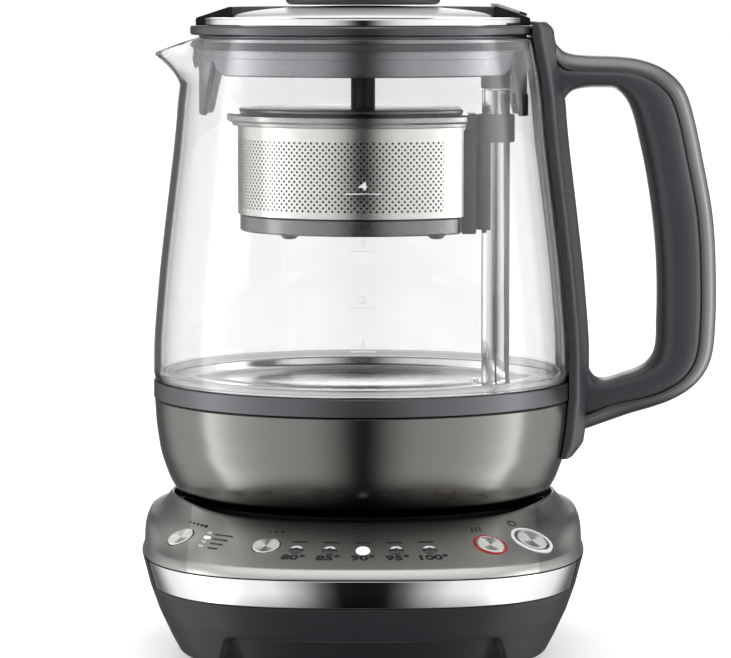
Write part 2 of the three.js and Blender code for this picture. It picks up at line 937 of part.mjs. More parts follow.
function strengthLightGuide() {
  const middleShare = (strengthLensShares[0] + strengthLensShares[strengthLensCount - 1]) / 2;
  const [lowRadius, lowHeight] = deckPoint(frontAngle + radians(strengthLensAngle), strengthLensShares[0]);
  const last = strengthLensShares[strengthLensCount - 1];
  const [highRadius, highHeight] = deckPoint(frontAngle + radians(strengthLensAngle), last);
  const length = Math.hypot(lowRadius - highRadius, highHeight - lowHeight) + smallLensLength;
  const bar = block(smallLensLength, length, guideThickness, 0, 0, -coverDepth - guideThickness / 2);
  const lenses = strengthLensShares.map((share) => onPanel(
    barLens(0, -coverDepth - guideThickness / 2, ringStand / 2),
    strengthLensAngle,
    share,
  ));
  return join(onPanel(bar, strengthLensAngle, middleShare), ...lenses);
}

function buildBase() {
  piece('deck_cover', deckCover(), 0x9a9b98, 0.35, 0.85);
  piece('lower_housing', lowerHousing(), 0x3f3f43, 0.4, 0);
  piece('front_band', frontBand(0, 0, 0), 0xd9dadb, 0.08, 1);
  piece('bottom_plate', bottomPlate(), 0x242427, 0.6, 0);
  footPlaces.forEach(([x, y], i) => piece(`foot_${i + 1}`, rubberFoot(x, y), 0x1a1a1a, 0.9, 0));
  piece('control_board', controlBoard(), 0x1f5a35, 0.6, 0);
  piece('cord_gland', cordGland(), 0x1c1c1e, 0.7, 0);
  piece('well_liner', wellLiner(), 0x111113, 0.45, 0);
  piece('power_connector', powerConnector(), 0x17171a, 0.5, 0);
  piece('switch_carrier', switchCarrier(), 0x2c2c30, 0.6, 0);
  controls.forEach((control) => {
    piece(`${control.name}_button`, pushButton(control), 0xc8c8c6, 0.25, 1);
    piece(`${control.name}_switch`, tactSwitch(control), 0x202022, 0.5, 0);
  });
  piece('warm_light_ring', lightRing(controls[2]), 0xb0141f, 0.3, 0);
  piece('start_light_ring', lightRing(controls[3]), 0xf2f4f5, 0.3, 0);
  piece('temperature_light_guide', temperatureLightGuide(), 0xe6e7e6, 0.25, 0);
  piece('strength_light_guide', strengthLightGuide(), 0xe6e7e6, 0.25, 0);
}

// Jug: glass body with its pouring spout

function glassRadiusAt(height) {
  const rise = (height - glassBottom) / (glassTop - glassBottom);
  return glassRadius - glassRimInset * shareAtHeight(glassDrawShares, rise);
}

function spoutShare(angle) {
  const turn = Math.atan2(Math.sin(angle - Math.PI), Math.cos(angle - Math.PI));
  const off = Math.abs((turn * 180) / Math.PI) / spoutHalfAngle;
  return off < 1 ? Math.cos((off * Math.PI) / 2) ** 2 : 0;
}

function glassSection(angle) {
  const pull = spoutShare(angle);
  const straight = glassDrawShares.slice(0, -1).map(([rise]) => mix(glassBottom, glassTop, rise));
  const upper = spoutLevelShares.map((share) => mix(spoutRootHeight, glassTop, share));
  const lean = (height) => Math.max(height - spoutRootHeight, 0) / (glassTop - spoutRootHeight);
  const low = straight.filter((height) => height < spoutRootHeight);
  const levels = [...low, spoutRootHeight, ...upper, glassTop];
  const wall = (inset) => levels.map((height) => [
    glassRadiusAt(height) - inset + pull * spoutReach * lean(height) ** 1.3,
    height - pull * spoutDip * lean(height),
  ]);
  return [...wall(0), ...wall(glassWall).reverse()];
}

function shellRadiusAt(height) {
  const rise = (height - shellBottom) / (shellTop - shellBottom);
  return mix(shellFootRadius, shellRadius, shareAtHeight(shellShares, rise));
}

function steelShell() {
  const outer = shellShares.map(([rise]) => {
    const height = mix(shellBottom, shellTop, rise);
    return [shellRadiusAt(height), height];
  });
  const inner = outer.filter((_, i) => i !== 1).map(([radius, height]) => [radius - shellWall, height]);
  return turnedRing([...outer, ...inner.reverse()]);
}

function trimBand() {
  return turnedRing([
    [glassRadius, bandBottom],
    [glassRadius, bandTop],
    [glassRadius - bandInset, bandTop],
    [glassRadius - bandInset, bandTop - bandLedgeDrop],
    [glassRadius - bandInset - bandLedge, bandTop - bandLedgeDrop],
    [glassRadius - bandInset - bandLedge, bandBottom],
  ]);
}

const hotPlateTop = bandTop - bandLedgeDrop + seat + hotPlateThickness + seat;
const hotPlateFloor = hotPlateTop - hotPlateDepth;

function hotPlate() {
  const under = hotPlateFloor - hotPlateThickness;
  const coneRadius = hotPlateRadius - bandLedge * 2;
  const dish = turned([
    [0, hotPlateFloor],
    [hotPlateFloorRadius, hotPlateFloor],
    [coneRadius, hotPlateTop - seat * 2],
    [hotPlateRadius, hotPlateTop],
    [hotPlateRadius, hotPlateTop - hotPlateThickness],
    [coneRadius, hotPlateTop - hotPlateThickness - seat * 2],
    [hotPlateFloorRadius + seat, under],
    [0, under],
  ]);
  const hole = disc(screwRadius + screwClearance, under - overrun, hotPlateFloor + overrun, sectionSides);
  hole.translate(poleX, 0, 0);
  return cut(dish, hole);
}

function glassSeal() {
  const outer = glassRadius - glassWall - seat;
  return tube(outer, outer - glassSealWidth, hotPlateTop + seat, hotPlateTop + seat + glassSealHeight);
}

function underCover() {
  const outer = shellFootRadius - shellWall - seat;
  const bottom = wellFloorHeight + seat;
  return turnedRing([
    [coverRecessRadius, bottom],
    [coverFootRadius, bottom],
    [outer, shellBottom - seat],
    [outer, coverTop],
    [coverRecessRadius, coverTop],
  ]);
}

function jugConnector() {
  return turned([
    [0, connectorTop],
    [connectorRadius, connectorTop],
    [connectorRadius, connectorMouth],
    [connectorBore, connectorMouth],
    [connectorBore, connectorTop - connectorCeiling],
    [0, connectorTop - connectorCeiling],
  ], sectionSides * 2);
}

const plateUnderside = hotPlateFloor - hotPlateThickness;

function thermostatBlock() {
  return disc(thermostatRadius, connectorTop + seat, plateUnderside - seat, smallSides);
}

class LevelArc extends THREE.Curve {
  constructor(radius, degrees, height) {
    super();
    this.radius = radius;
    this.sweep = radians(degrees);
    this.height = height;
  }

  getPoint(t, target = new THREE.Vector3()) {
    const angle = this.sweep * (t - 0.5);
    return target.set(this.radius * Math.cos(angle), this.radius * Math.sin(angle), this.height);
  }
}

function heatingElement() {
  const round = new THREE.Shape();
  round.absarc(0, 0, elementTube, 0, 2 * Math.PI, false);
  const path = new LevelArc(elementRadius, elementArc, plateUnderside - seat - elementTube);
  const ring = new THREE.ExtrudeGeometry(round, {
    extrudePath: path,
    steps: sectionSides + lensSides,
    curveSegments: 3,
    bevelEnabled: false,
  });
  return closed(ring);
}

// Pole with the hidden magnet drive

function oval(halfWidth, halfDepth, x) {
  const shape = new THREE.Shape();
  shape.absellipse(x, 0, halfWidth, halfDepth, 0, 2 * Math.PI, false, 0);
  return shape;
}

function ovalPath(halfWidth, halfDepth, x) {
  const path = new THREE.Path();
  path.absellipse(x, 0, halfWidth, halfDepth, 0, 2 * Math.PI, true, 0);
  return path;
}

function ovalTube(halfWidth, halfDepth, wall, bottom, top) {
  const shape = oval(halfWidth, halfDepth, poleX);
  shape.holes.push(ovalPath(halfWidth - wall, halfDepth - wall, poleX));
  return upright(shape, bottom, top, smallSides);
}

function polePiece() {
  return ovalTube(poleHalfWidth, poleHalfDepth, poleWall, hotPlateFloor + poleLift, poleTop);
}

function poleCap() {
  const cap = oval(poleHalfWidth + poleCapOverhang, poleHalfDepth + poleCapOverhang, poleX);
  return upright(cap, poleTop + seat, poleTop + seat + poleCapHeight, smallSides);
}

function poleSeal() {
  const gap = seat + poleSealWidth;
  const height = hotPlateFloor + seat;
  return ovalTube(poleHalfWidth + gap, poleHalfDepth + gap, poleSealWidth, height, height + poleSealHeight);
}

function onPole(geometry) {
  geometry.translate(poleX, 0, 0);
  return closed(geometry);
}

function driveMotor() {
  return onPole(disc(motorRadius, plateUnderside - seat - motorHeight, plateUnderside - seat, smallSides));
}

function leadScrew() {
  return onPole(disc(screwRadius, plateUnderside, poleTop, sectionSides));
}

function driveMagnet() {
  return onPole(tube(magnetRadius, screwRadius + running, carriageCollarBottom, carriageTop, sectionSides));
}

function temperatureProbe() {
  const bottom = hotPlateFloor + seat;
  const probe = turned([
    [0, bottom],
    [probeFlangeRadius, bottom],
    [probeFlangeRadius, bottom + probeFlangeThickness],
    [probeRadius, bottom + probeFlangeThickness],
    [probeRadius, bottom + probeHeight],
    [0, bottom + probeHeight],
  ], sectionSides);
  probe.translate(probeX, probeY, 0);
  return closed(probe);
}

// Handle: a long bracket down the glass, a D-shaped grip and a metal trim round its outside

function jugRadiusAt(height) {
  if (height < shellTop) return shellRadiusAt(Math.max(height, shellBottom));
  if (height < glassBottom) return glassRadius;
  return glassRadiusAt(Math.min(height, glassTop));
}

const bracketEndShares = [0, 0.03, 0.95, 0.97, 0.985, 1];
const bracketRoundSteps = 3;
const bracketTaperShare = 0.12;
const bracketTopShare = 0.95;

function bracketFace(height) {
  const rise = (height - bracketBottom) / (bracketTop - bracketBottom);
  const taper = Math.min(rise / bracketTaperShare, 1);
  const round = Math.max(rise - bracketTopShare, 0) / (1 - bracketTopShare);
  const bulge = bracketDepth * (1 - round * round * 0.75);
  return jugRadiusAt(height) + mix(bracketDepth * 0.55, bulge, taper);
}

function bracketSection(height) {
  const inner = jugRadiusAt(height) + seat;
  const face = bracketFace(height);
  const edge = Math.sqrt(inner ** 2 - bracketHalfWidth ** 2);
  const half = Math.sqrt(inner ** 2 - (bracketHalfWidth / 2) ** 2);
  const side = bracketSectionShares.map(([across, out]) => [mix(edge, face, out), bracketHalfWidth * across]);
  const outline2d = [
    [edge, -bracketHalfWidth],
    ...side.map(([x, y]) => [x, -y]),
    ...side.slice(0, -1).reverse(),
    [edge, bracketHalfWidth],
    [half, bracketHalfWidth / 2],
    [inner, 0],
    [half, -bracketHalfWidth / 2],
  ];
  return outline2d.map(([x, y]) => new THREE.Vector3(x, y, height));
}

function bracketHeights() {
  const glassLevels = glassDrawShares.map(([rise]) => mix(glassBottom, glassTop, rise));
  const shellLevels = shellShares.map(([rise]) => mix(shellBottom, shellTop, rise));
  const ends = bracketEndShares.map((share) => mix(bracketBottom, bracketTop, share));
  const between = [...glassLevels, ...shellLevels].filter((height) => (
    height > ends[1] && height < ends[ends.length - 1 - bracketRoundSteps]
  ));
  return [...ends, ...between].sort((a, b) => a - b);
}

function handleBracket() {
  return skin(bracketHeights().map(bracketSection), false);
}

function gripPoint([across, up]) {
  return new THREE.Vector3(mix(handleRoot, gripReach, across), 0, mix(handleBottom, handleTop, up));
}

const gripInnerCurve = new THREE.CatmullRomCurve3(gripInnerShares.map(gripPoint), false, 'centripetal');
const gripOuterCurve = new THREE.CatmullRomCurve3(gripOuterShares.map(gripPoint), false, 'centripetal');

function gripStation(step) {
  const t = step / gripSteps;
  const inner = gripInnerCurve.getPoint(t);
  const outer = gripOuterCurve.getPoint(t);
  const out = outer.clone().sub(inner);
  const depth = out.length();
  const swell = Math.sin(Math.PI * t) ** 2;
  return { inner, outer, out: out.normalize(), depth, swell };
}

function superArc(angle, power) {
  const [c, s] = [Math.cos(angle), Math.sin(angle)];
  return [Math.sign(c) * Math.abs(c) ** (2 / power), Math.sign(s) * Math.abs(s) ** (2 / power)];
}

const gripSquareness = 3.2;
const trimSquareness = 2.6;

function gripSection(step) {
  const { inner, out, depth, swell } = gripStation(step);
  const half = (depth - trimThickness - seat) / 2;
  const width = mix(armHalfWidth, gripHalfWidth, swell);
  const middle = inner.clone().addScaledVector(out, half);
  return Array.from({ length: sectionSides }, (_, k) => {
    const [u, v] = superArc((2 * Math.PI * k) / sectionSides, gripSquareness);
    return middle.clone().addScaledVector(out, u * half).add(new THREE.Vector3(0, v * width, 0));
  });
}

function trimSection(step) {
  const { outer, out, swell } = gripStation(step);
  const width = mix(trimHalfWidth - 1.2 * seat, trimHalfWidth, swell);
  const root = outer.clone().addScaledVector(out, -trimThickness);
  const rows = sectionSides - 3;
  return Array.from({ length: rows }, (_, k) => {
    const [u, v] = superArc(Math.PI * (k / (rows - 1) - 0.5), trimSquareness);
    return root.clone().addScaledVector(out, u * trimThickness).add(new THREE.Vector3(0, v * width, 0));
  });
}

function sweptHandle(section) {
  return skin(Array.from({ length: gripSteps + 1 }, (_, step) => section(step)), false);
}

function bracketClearance() {
  const levels = [bracketBottom - overrun, ...bracketHeights(), bracketTop + overrun];
  const wide = bracketHalfWidth + overrun;
  return skin(levels.map((height) => {
    const inside = Math.min(Math.max(height, bracketBottom), bracketTop);
    const face = bracketFace(inside) + seat;
    const back = face - bracketDepth * 2;
    return [[back, -wide], [face, -wide], [face, wide], [back, wide]]
      .map(([x, y]) => new THREE.Vector3(x, y, height));
  }), false);
}

function buildJug() {
  const clear = { transparent: true, opacity: 0.3 };
  piece('glass_body', swept(glassSection, 0, 2 * Math.PI, roundSides), 0xdfe5e6, 0.05, 0, clear);
  piece('trim_band', trimBand(), 0x6d6d72, 0.4, 0.2);
  piece('steel_shell', steelShell(), 0x8f8c87, 0.22, 1);
  piece('hot_plate', hotPlate(), 0xb9b9b8, 0.25, 1);
  piece('glass_seal', glassSeal(), 0xa5a6a6, 0.7, 0);
  piece('under_cover', underCover(), 0x141416, 0.5, 0);
  piece('jug_connector', jugConnector(), 0x1d1d20, 0.5, 0);
  piece('thermostat_block', thermostatBlock(), 0xc9c2ae, 0.6, 0);
  piece('heating_element', heatingElement(), 0x8d8f92, 0.4, 1);
  piece('drive_motor', driveMotor(), 0x9fa1a3, 0.4, 1);
  piece('lead_screw', leadScrew(), 0xa9abad, 0.3, 1);
  piece('pole', polePiece(), 0xc9cacb, 0.2, 1);
  piece('pole_cap', poleCap(), 0x8f9093, 0.5, 0);
  piece('pole_seal', poleSeal(), 0x9a9b9c, 0.8, 0);
  piece('temperature_probe', temperatureProbe(), 0xb5b6b7, 0.25, 1);
  piece('handle_bracket', handleBracket(), 0x34363a, 0.45, 0);
  piece('handle_grip', cut(sweptHandle(gripSection), bracketClearance()), 0x3a3c41, 0.5, 0);
  piece('handle_trim', cut(sweptHandle(trimSection), bracketClearance()), 0x7b7c7c, 0.25, 0.9);
}

// Leaf basket: a round basket with a flat side that faces the pole

function flatSided(radius, chord) {
  const half = Math.acos(chord / radius);
  const shape = new THREE.Shape();
  shape.absarc(0, 0, radius, half, 2 * Math.PI - half, false);
  shape.closePath();
  return shape;
}

function flatSidedPath(radius, chord) {
  const half = Math.acos(chord / radius);
  const path = new THREE.Path();
  path.absarc(0, 0, radius, 2 * Math.PI - half, half, true);
  path.closePath();
  return path;
}

function flatSidedRing(radius, chord, inner, innerChord, bottom, top) {
  const shape = flatSided(radius, chord);
  shape.holes.push(flatSidedPath(inner, innerChord));
  return upright(shape, bottom, top, basketSegments);
}

const basketWallBottom = basketBottom + basketFloorHeight + seat;

// The holes of the basket: rows of six-sided holes round the curved wall, one to each of its
// facets, on one side of the facet and on the other in turn, which staggers the rows.
function basketHoles() {
  const flatAngle = Math.acos(basketChord / basketRadius);
  const pitch = (2 * (Math.PI - flatAngle)) / basketSegments;
  const middle = (basketWallBottom + basketWallTop - rimSkirtDepth) / 2;
  const holes = [];
  for (let row = 0; row < holeRows; row += 1) {
    const offset = row % 2 === 0 ? 0.25 : 0.75;
    const height = middle + (row - (holeRows - 1) / 2) * holeRise;
    for (let i = 0; i < basketSegments; i += 1) {
      const hole = disc(holeRadius, basketRadius - overrun, basketRadius + overrun, lensSides - 2);
      hole.rotateY(Math.PI / 2);
      hole.rotateZ(flatAngle + (i + offset) * pitch);
      hole.translate(0, 0, height);
      holes.push(closed(hole));
    }
  }
  return holes;
}

function basketBody() {
  const wall = flatSidedRing(
    basketRadius,
    basketChord,
    basketRadius - basketWall,
    basketChord - basketWall,
    basketWallBottom,
    basketWallTop,
  );
  return cut(wall, ...basketHoles());
}

function basketRim() {
  const bottom = basketWallTop + seat;
  const top = bottom + rimHeight;
  const slab = flatSidedRing(rimRadius, rimChord, rimHoleRadius, basketChord - basketWall * 3, bottom, top);
  const clear = basketRadius + seat;
  const skirt = flatSidedRing(
    rimSkirtRadius,
    rimChord,
    clear,
    basketChord + seat,
    basketWallTop - rimSkirtDepth,
    bottom + rimHeight / 2,
  );
  return join(slab, skirt);
}

function basketFloor() {
  const radius = basketRadius - basketWall;
  const chord = basketChord - basketWall;
  const cup = cut(
    upright(flatSided(radius, chord), basketBottom, basketBottom + basketFloorHeight, basketSegments),
    upright(
      flatSided(radius - basketWall * 2, chord - basketWall * 2),
      basketBottom + basketFloorThickness,
      basketBottom + basketFloorHeight + overrun,
      basketSegments,
    ),
  );
  const feet = [-1, 1].map((side) => block(
    basketFootLength,
    basketFootWidth,
    basketFootHeight * 2,
    side * basketRadius * 0.57,
    0,
    basketBottom,
  ));
  return join(cup, ...feet);
}

const basketLidBottom = basketWallTop + seat + rimHeight + seat;

function basketLid() {
  const plate = upright(
    flatSided(basketLidRadius, basketChord),
    basketLidBottom,
    basketLidBottom + basketLidThickness,
    basketSegments,
  );
  const top = basketLidBottom + basketLidThickness;
  const stem = disc(stemRadius, top - basketLidThickness / 2, top + stemHeight, smallSides);
  return join(plate, stem);
}

function basketSpine() {
  const left = basketChord + seat;
  return block(
    spineThickness,
    spineHalfWidth * 2,
    spineTop - spineBottom,
    left + spineThickness / 2,
    0,
    (spineTop + spineBottom) / 2,
  );
}

function carriage() {
  const halfWidth = poleHalfWidth + running + carriageWall;
  const halfDepth = poleHalfDepth + running + carriageWall;
  const shape = oval(halfWidth, halfDepth, poleX);
  const full = upright(shape, carriageBottom, carriageTop, smallSides);
  const bore = upright(
    oval(poleHalfWidth + running, poleHalfDepth + running, poleX),
    carriageBottom - overrun,
    carriageTop + overrun,
    smallSides,
  );
  const legRight = poleX - halfWidth + carriageWall + carriageCheek;
  const openHeight = carriageCollarBottom - carriageBottom + overrun;
  const open = block(
    halfWidth * 2,
    halfDepth * 2 + overrun,
    openHeight,
    legRight + halfWidth,
    0,
    carriageCollarBottom - openHeight / 2,
  );
  return cut(full, bore, open);
}

function buildBasket() {
  piece('basket_body', basketBody(), 0xb4b5b2, 0.3, 1);
  piece('basket_rim', basketRim(), 0xa9aaa6, 0.3, 1);
  piece('basket_floor', basketFloor(), 0xa3a4a0, 0.35, 1);
  piece('basket_spine', basketSpine(), 0x2d2e30, 0.5, 0);
  piece('basket_lid', basketLid(), 0xadaeab, 0.28, 1);
  piece('carriage', carriage(), 0x55585b, 0.45, 0);
  piece('drive_magnet', driveMagnet(), 0x4a4a4d, 0.4, 1);
}

// Lid: a dark moulding with a raised rear rim, a steel dome, a knob and a hanging skirt

function skirtEdge(angle) {
  const off = (Math.atan2(Math.abs(Math.sin(angle)), Math.abs(Math.cos(angle))) * 180) / Math.PI;
  if (off < skirtTabAngle) return skirtTabBottom;
  if (off < skirtNotchAngle) {
    return mix(skirtTabBottom, skirtNotchTop, (off - skirtTabAngle) / (skirtNotchAngle - skirtTabAngle));
  }
  const fall = (off - skirtNotchAngle) / (skirtShoulderAngle - skirtNotchAngle);
  return mix(skirtNotchTop, skirtBottom, Math.min(fall, 1));
}

function lidSkirt() {
  const top = lidCollarBottom - seat;
  const inner = skirtRadius - skirtWall;
  const section = (angle) => [
    [skirtRadius, top],
    [skirtRadius, skirtEdge(angle)],
    [inner, skirtEdge(angle)],
    [inner, top - skirtWall],
    [inner - skirtFlangeWidth, top - skirtWall],
    [inner - skirtFlangeWidth, top],
  ];
  return swept(section, 0, 2 * Math.PI, skirtSides);
}

function rearRim(extra) {
  const base = lidCollarTop - lidCollarRound;
  const section = () => [
    [rearRimInner - extra, base],
    [rearRimRadius + extra, base],
    [rearRimRadius + extra, lidCollarTop + rearRimStep + extra],
    [rearRimInner + rearRimTopWidth, lidCollarTop + rearRimHeight + extra],
    [rearRimInner - extra, lidCollarTop + rearRimHeight + extra],
  ];
  return swept(section, -extra / rearRimRadius, Math.PI + extra / rearRimRadius, sectionSides * 2);
}

// A pale marker that stands on the slope of the rear rim, beside the handle.
function rimSlopeHeight(radius) {
  const run = rearRimRadius - rearRimInner - rearRimTopWidth;
  const fall = (radius - rearRimInner - rearRimTopWidth) / run;
  return lidCollarTop + mix(rearRimHeight, rearRimStep, fall);
}

function lidTab() {
  const inner = rearRimRadius - tabInnerInset;
  const outer = rearRimRadius - tabOuterInset;
  const section = () => [
    [inner, rimSlopeHeight(inner) + seat],
    [outer, rimSlopeHeight(outer) + seat],
    [outer, rimSlopeHeight(outer) + seat + tabStand / 2],
    [inner, rimSlopeHeight(inner) + seat + tabStand],
  ];
  return swept(section, radians(tabFromAngle), radians(tabToAngle), sectionSides / 3);
}

function lidCollar() {
  const plate = turned([
    [0, lidCollarBottom],
    [lidRadius - lidCollarRound, lidCollarBottom],
    [lidRadius, lidCollarBottom + lidCollarRound],
    [lidRadius, lidCollarTop - lidCollarRound],
    [lidRadius - lidCollarRound, lidCollarTop],
    [0, lidCollarTop],
  ]);
  return join(plate, rearRim(0));
}

function lidDome() {
  const base = lidCollarTop + seat;
  const tier = base + domeTierHeight;
  const lower = [[0.998, 0.15], [0.96, 0.5], [0.88, 0.85], [0.82, 1]];
  const cap = domeShares.map(([reach, rise]) => [
    domeTierRadius * reach,
    mix(tier, lidCollarTop + domeHeight, rise),
  ]);
  const dome = turned([
    [0, base],
    [domeRadius, base],
    ...lower.map(([reach, rise]) => [domeRadius * reach, mix(base, tier - seat, rise)]),
    ...cap,
  ]);
  return cut(dome, rearRim(seat));
}

function lidKnob() {
  const bottom = lidCollarTop + domeHeight + seat;
  const top = bottom + knobHeight;
  return turned([
    [0, bottom],
    [knobRadius - knobRound / 2, bottom],
    [knobRadius, bottom + knobRound / 2],
    [knobRadius, top - knobRound],
    [knobRadius - knobRound * 0.4, top - knobRound * 0.4],
    [knobRadius - knobRound, top],
    [0, top],
  ]);
}

function lidSeal() {
  const inner = skirtRadius + seat;
  return tube(inner + lidSealWidth, inner, lidSealBottom, lidSealBottom + lidSealHeight, skirtSides);
}

function buildLid() {
  piece('lid_collar', lidCollar(), 0x4a4b4e, 0.45, 0.1);
  piece('lid_dome', lidDome(), 0xd0d0ce, 0.2, 1);
  piece('lid_knob', lidKnob(), 0x3c3e40, 0.4, 0);
  piece('lid_skirt', lidSkirt(), 0xa4a4a9, 0.45, 0);
  piece('lid_seal', lidSeal(), 0xc8c9cb, 0.7, 0);
  piece('lid_tab', lidTab(), 0xb9babb, 0.5, 0);
}

buildBase();
buildJug();
buildBasket();
buildLid();

// The origin is the middle of the footprint, at the surface that the feet stand on
const extent = new THREE.Box3().setFromObject(teaMaker, true);
const middle = extent.getCenter(new THREE.Vector3());
teaMaker.position.set(-middle.x, -middle.y, -extent.min.z);

export default teaMaker;
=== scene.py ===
"""Looks of the automatic tea maker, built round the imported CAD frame.

Every form is worked out in millimetres about the jug's upright axis, with the front panel
towards -Y, and is placed into the row frame when its mesh is made.
"""

from __future__ import annotations

import json
import logging
import math
import sys
from abc import ABC, abstractmethod
from dataclasses import dataclass
from enum import Enum
from typing import Any, Iterable, Optional, Sequence

import bpy
import numpy as np
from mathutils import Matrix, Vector

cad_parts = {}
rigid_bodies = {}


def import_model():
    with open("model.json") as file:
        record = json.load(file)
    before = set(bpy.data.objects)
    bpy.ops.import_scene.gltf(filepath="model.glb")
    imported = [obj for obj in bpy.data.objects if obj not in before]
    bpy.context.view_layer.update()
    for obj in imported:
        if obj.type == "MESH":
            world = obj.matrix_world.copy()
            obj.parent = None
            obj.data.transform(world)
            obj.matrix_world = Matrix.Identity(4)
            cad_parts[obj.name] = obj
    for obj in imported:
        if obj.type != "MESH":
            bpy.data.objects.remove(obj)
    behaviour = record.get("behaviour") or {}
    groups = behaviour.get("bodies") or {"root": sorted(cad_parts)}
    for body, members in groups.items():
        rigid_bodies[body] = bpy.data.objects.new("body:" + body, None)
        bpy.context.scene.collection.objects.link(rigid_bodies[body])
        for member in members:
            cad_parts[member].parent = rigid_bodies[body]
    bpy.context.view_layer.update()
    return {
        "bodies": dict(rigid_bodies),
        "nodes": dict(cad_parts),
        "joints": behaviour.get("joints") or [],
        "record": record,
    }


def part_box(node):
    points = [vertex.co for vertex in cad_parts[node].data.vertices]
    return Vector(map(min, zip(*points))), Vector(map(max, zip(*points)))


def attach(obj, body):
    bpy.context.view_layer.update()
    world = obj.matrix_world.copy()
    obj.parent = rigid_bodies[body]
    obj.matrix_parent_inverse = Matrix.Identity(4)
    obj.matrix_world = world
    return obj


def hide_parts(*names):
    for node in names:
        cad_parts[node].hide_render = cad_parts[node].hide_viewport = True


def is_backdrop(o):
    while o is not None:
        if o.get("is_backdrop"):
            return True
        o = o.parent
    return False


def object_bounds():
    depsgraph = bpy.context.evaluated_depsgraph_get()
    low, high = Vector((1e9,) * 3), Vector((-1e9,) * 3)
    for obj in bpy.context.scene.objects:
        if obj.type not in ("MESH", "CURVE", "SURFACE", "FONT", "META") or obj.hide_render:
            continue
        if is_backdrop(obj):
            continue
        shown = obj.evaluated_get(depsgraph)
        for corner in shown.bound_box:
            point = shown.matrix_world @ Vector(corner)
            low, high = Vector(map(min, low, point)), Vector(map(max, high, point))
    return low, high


log = logging.getLogger("tea_maker")
Array = np.ndarray
Socket = bpy.types.NodeSocket
Pairs = tuple[tuple[float, float], ...]
Triple = tuple[float, float, float]
MM = 0.001
MICRON = 1e-6
TAU = 2 * math.pi
FRONT = -math.pi / 2
TINY = 1e-12
CREASE = 38.0
FINE_CREASE = 30.0
SOFT_CREASE = 60.0
PRINT_CREASE = 20.0


class Body(str, Enum):
    """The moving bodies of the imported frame."""

    BASE = "base"
    STRENGTH = "strength_key"
    TEMPERATURE = "temperature_key"
    WARM = "warm_key"
    START = "start_key"
    JUG = "jug"
    CARRIAGE = "carriage"
    BASKET = "basket"
    BASKET_LID = "basket_lid"
    LID = "lid"


class Grain(Enum):
    """The way that a metal is brushed."""

    ROUND = "round the jug's axis"
    ACROSS = "from side to side"
    SPUN = "in circles about a centre"
    NONE = "polished"


# Surfaces


@dataclass
class Surface:
    """Points in millimetres about the jug's axis, with the faces over them.

    Attributes:
        points: The points, count by 3.
        faces: Blocks of faces; each block is an array of faces by corners.
    """

    points: Array
    faces: list[Array]

    def moved(self, matrix: Array) -> "Surface":
        """Returns the surface turned and moved by a 4 by 4 matrix."""
        return Surface(self.points @ matrix[:3, :3].T + matrix[:3, 3], self.faces)

    def shifted(self, x: float, y: float, z: float) -> "Surface":
        """Returns the surface moved by three steps."""
        return Surface(self.points + np.array([x, y, z]), self.faces)

    def plus(self, *others: "Surface") -> "Surface":
        """Puts surfaces side by side in one.

        Args:
            others: The surfaces to add to this one.

        Returns:
            One surface that holds them all.
        """
        every = [self, *others]
        starts = np.cumsum([0] + [len(one.points) for one in every])
        blocks = [block + start for one, start in zip(every, starts) for block in one.faces]
        return Surface(np.vstack([one.points for one in every]), blocks)

    def volume(self) -> float:
        """Returns six times the signed volume, a sum over every face cut into triangles.

        Returns:
            The sum; it is positive where the faces look out.
        """
        total = 0.0
        for block in self.faces:
            first, second, third = (self.points[block[:, cut]] for cut in
                                    (slice(0, 1), slice(1, -1), slice(2, None)))
            total += float(np.sum(first * np.cross(second, third)))
        return total

    def outward(self) -> "Surface":
        """Returns the surface with its faces looking out."""
        turned_round = [block[:, ::-1] for block in self.faces]
        return self if self.volume() >= 0 else Surface(self.points, turned_round)

    def corners(self) -> list[list[int]]:
        """Returns the faces as plain lists."""
        return [face for block in self.faces for face in block.tolist()]


def grid(points: Array, wrap_rows: bool, wrap_columns: bool) -> Surface:
    """Joins a grid of points with quads.

    Args:
        points: Rows by columns by 3.
        wrap_rows: Whether the last row meets the first.
        wrap_columns: Whether the last column meets the first.

    Returns:
        The surface, with no caps.
    """
    rows, columns = points.shape[:2]
    r = np.arange(rows if wrap_rows else rows - 1)
    c = np.arange(columns if wrap_columns else columns - 1)
    rr, cc = np.meshgrid(r, c, indexing="ij")
    nr, nc = (rr + 1) % rows, (cc + 1) % columns
    quads = np.stack([rr * columns + cc, rr * columns + nc, nr * columns + nc, nr * columns + cc], -1)
    return Surface(points.reshape(-1, 3), [quads.reshape(-1, 4)])


def loft(sections: Array, looped: bool = False) -> Surface:
    """Joins closed sections into a solid.

    Args:
        sections: Sections by points by 3.
        looped: Whether the last section meets the first; if not, both ends are capped.

    Returns:
        The closed surface, with its faces looking out.
    """
    body = grid(sections, looped, True)
    if not looped:
        count = sections.shape[1]
        cap = np.arange(count)
        body.faces += [cap[None, ::-1], cap[None] + (sections.shape[0] - 1) * count]
    return body.outward()


def swept(angle: Array, rows: Sequence[tuple[Any, Any]]) -> Surface:
    """Joins a section that changes from angle to angle into a ring."""
    radius, height = (np.array([np.broadcast_to(row[part], angle.shape) for row in rows]).T for part in (0, 1))
    return loft(round_points(radius, angle[:, None], height), looped=True)


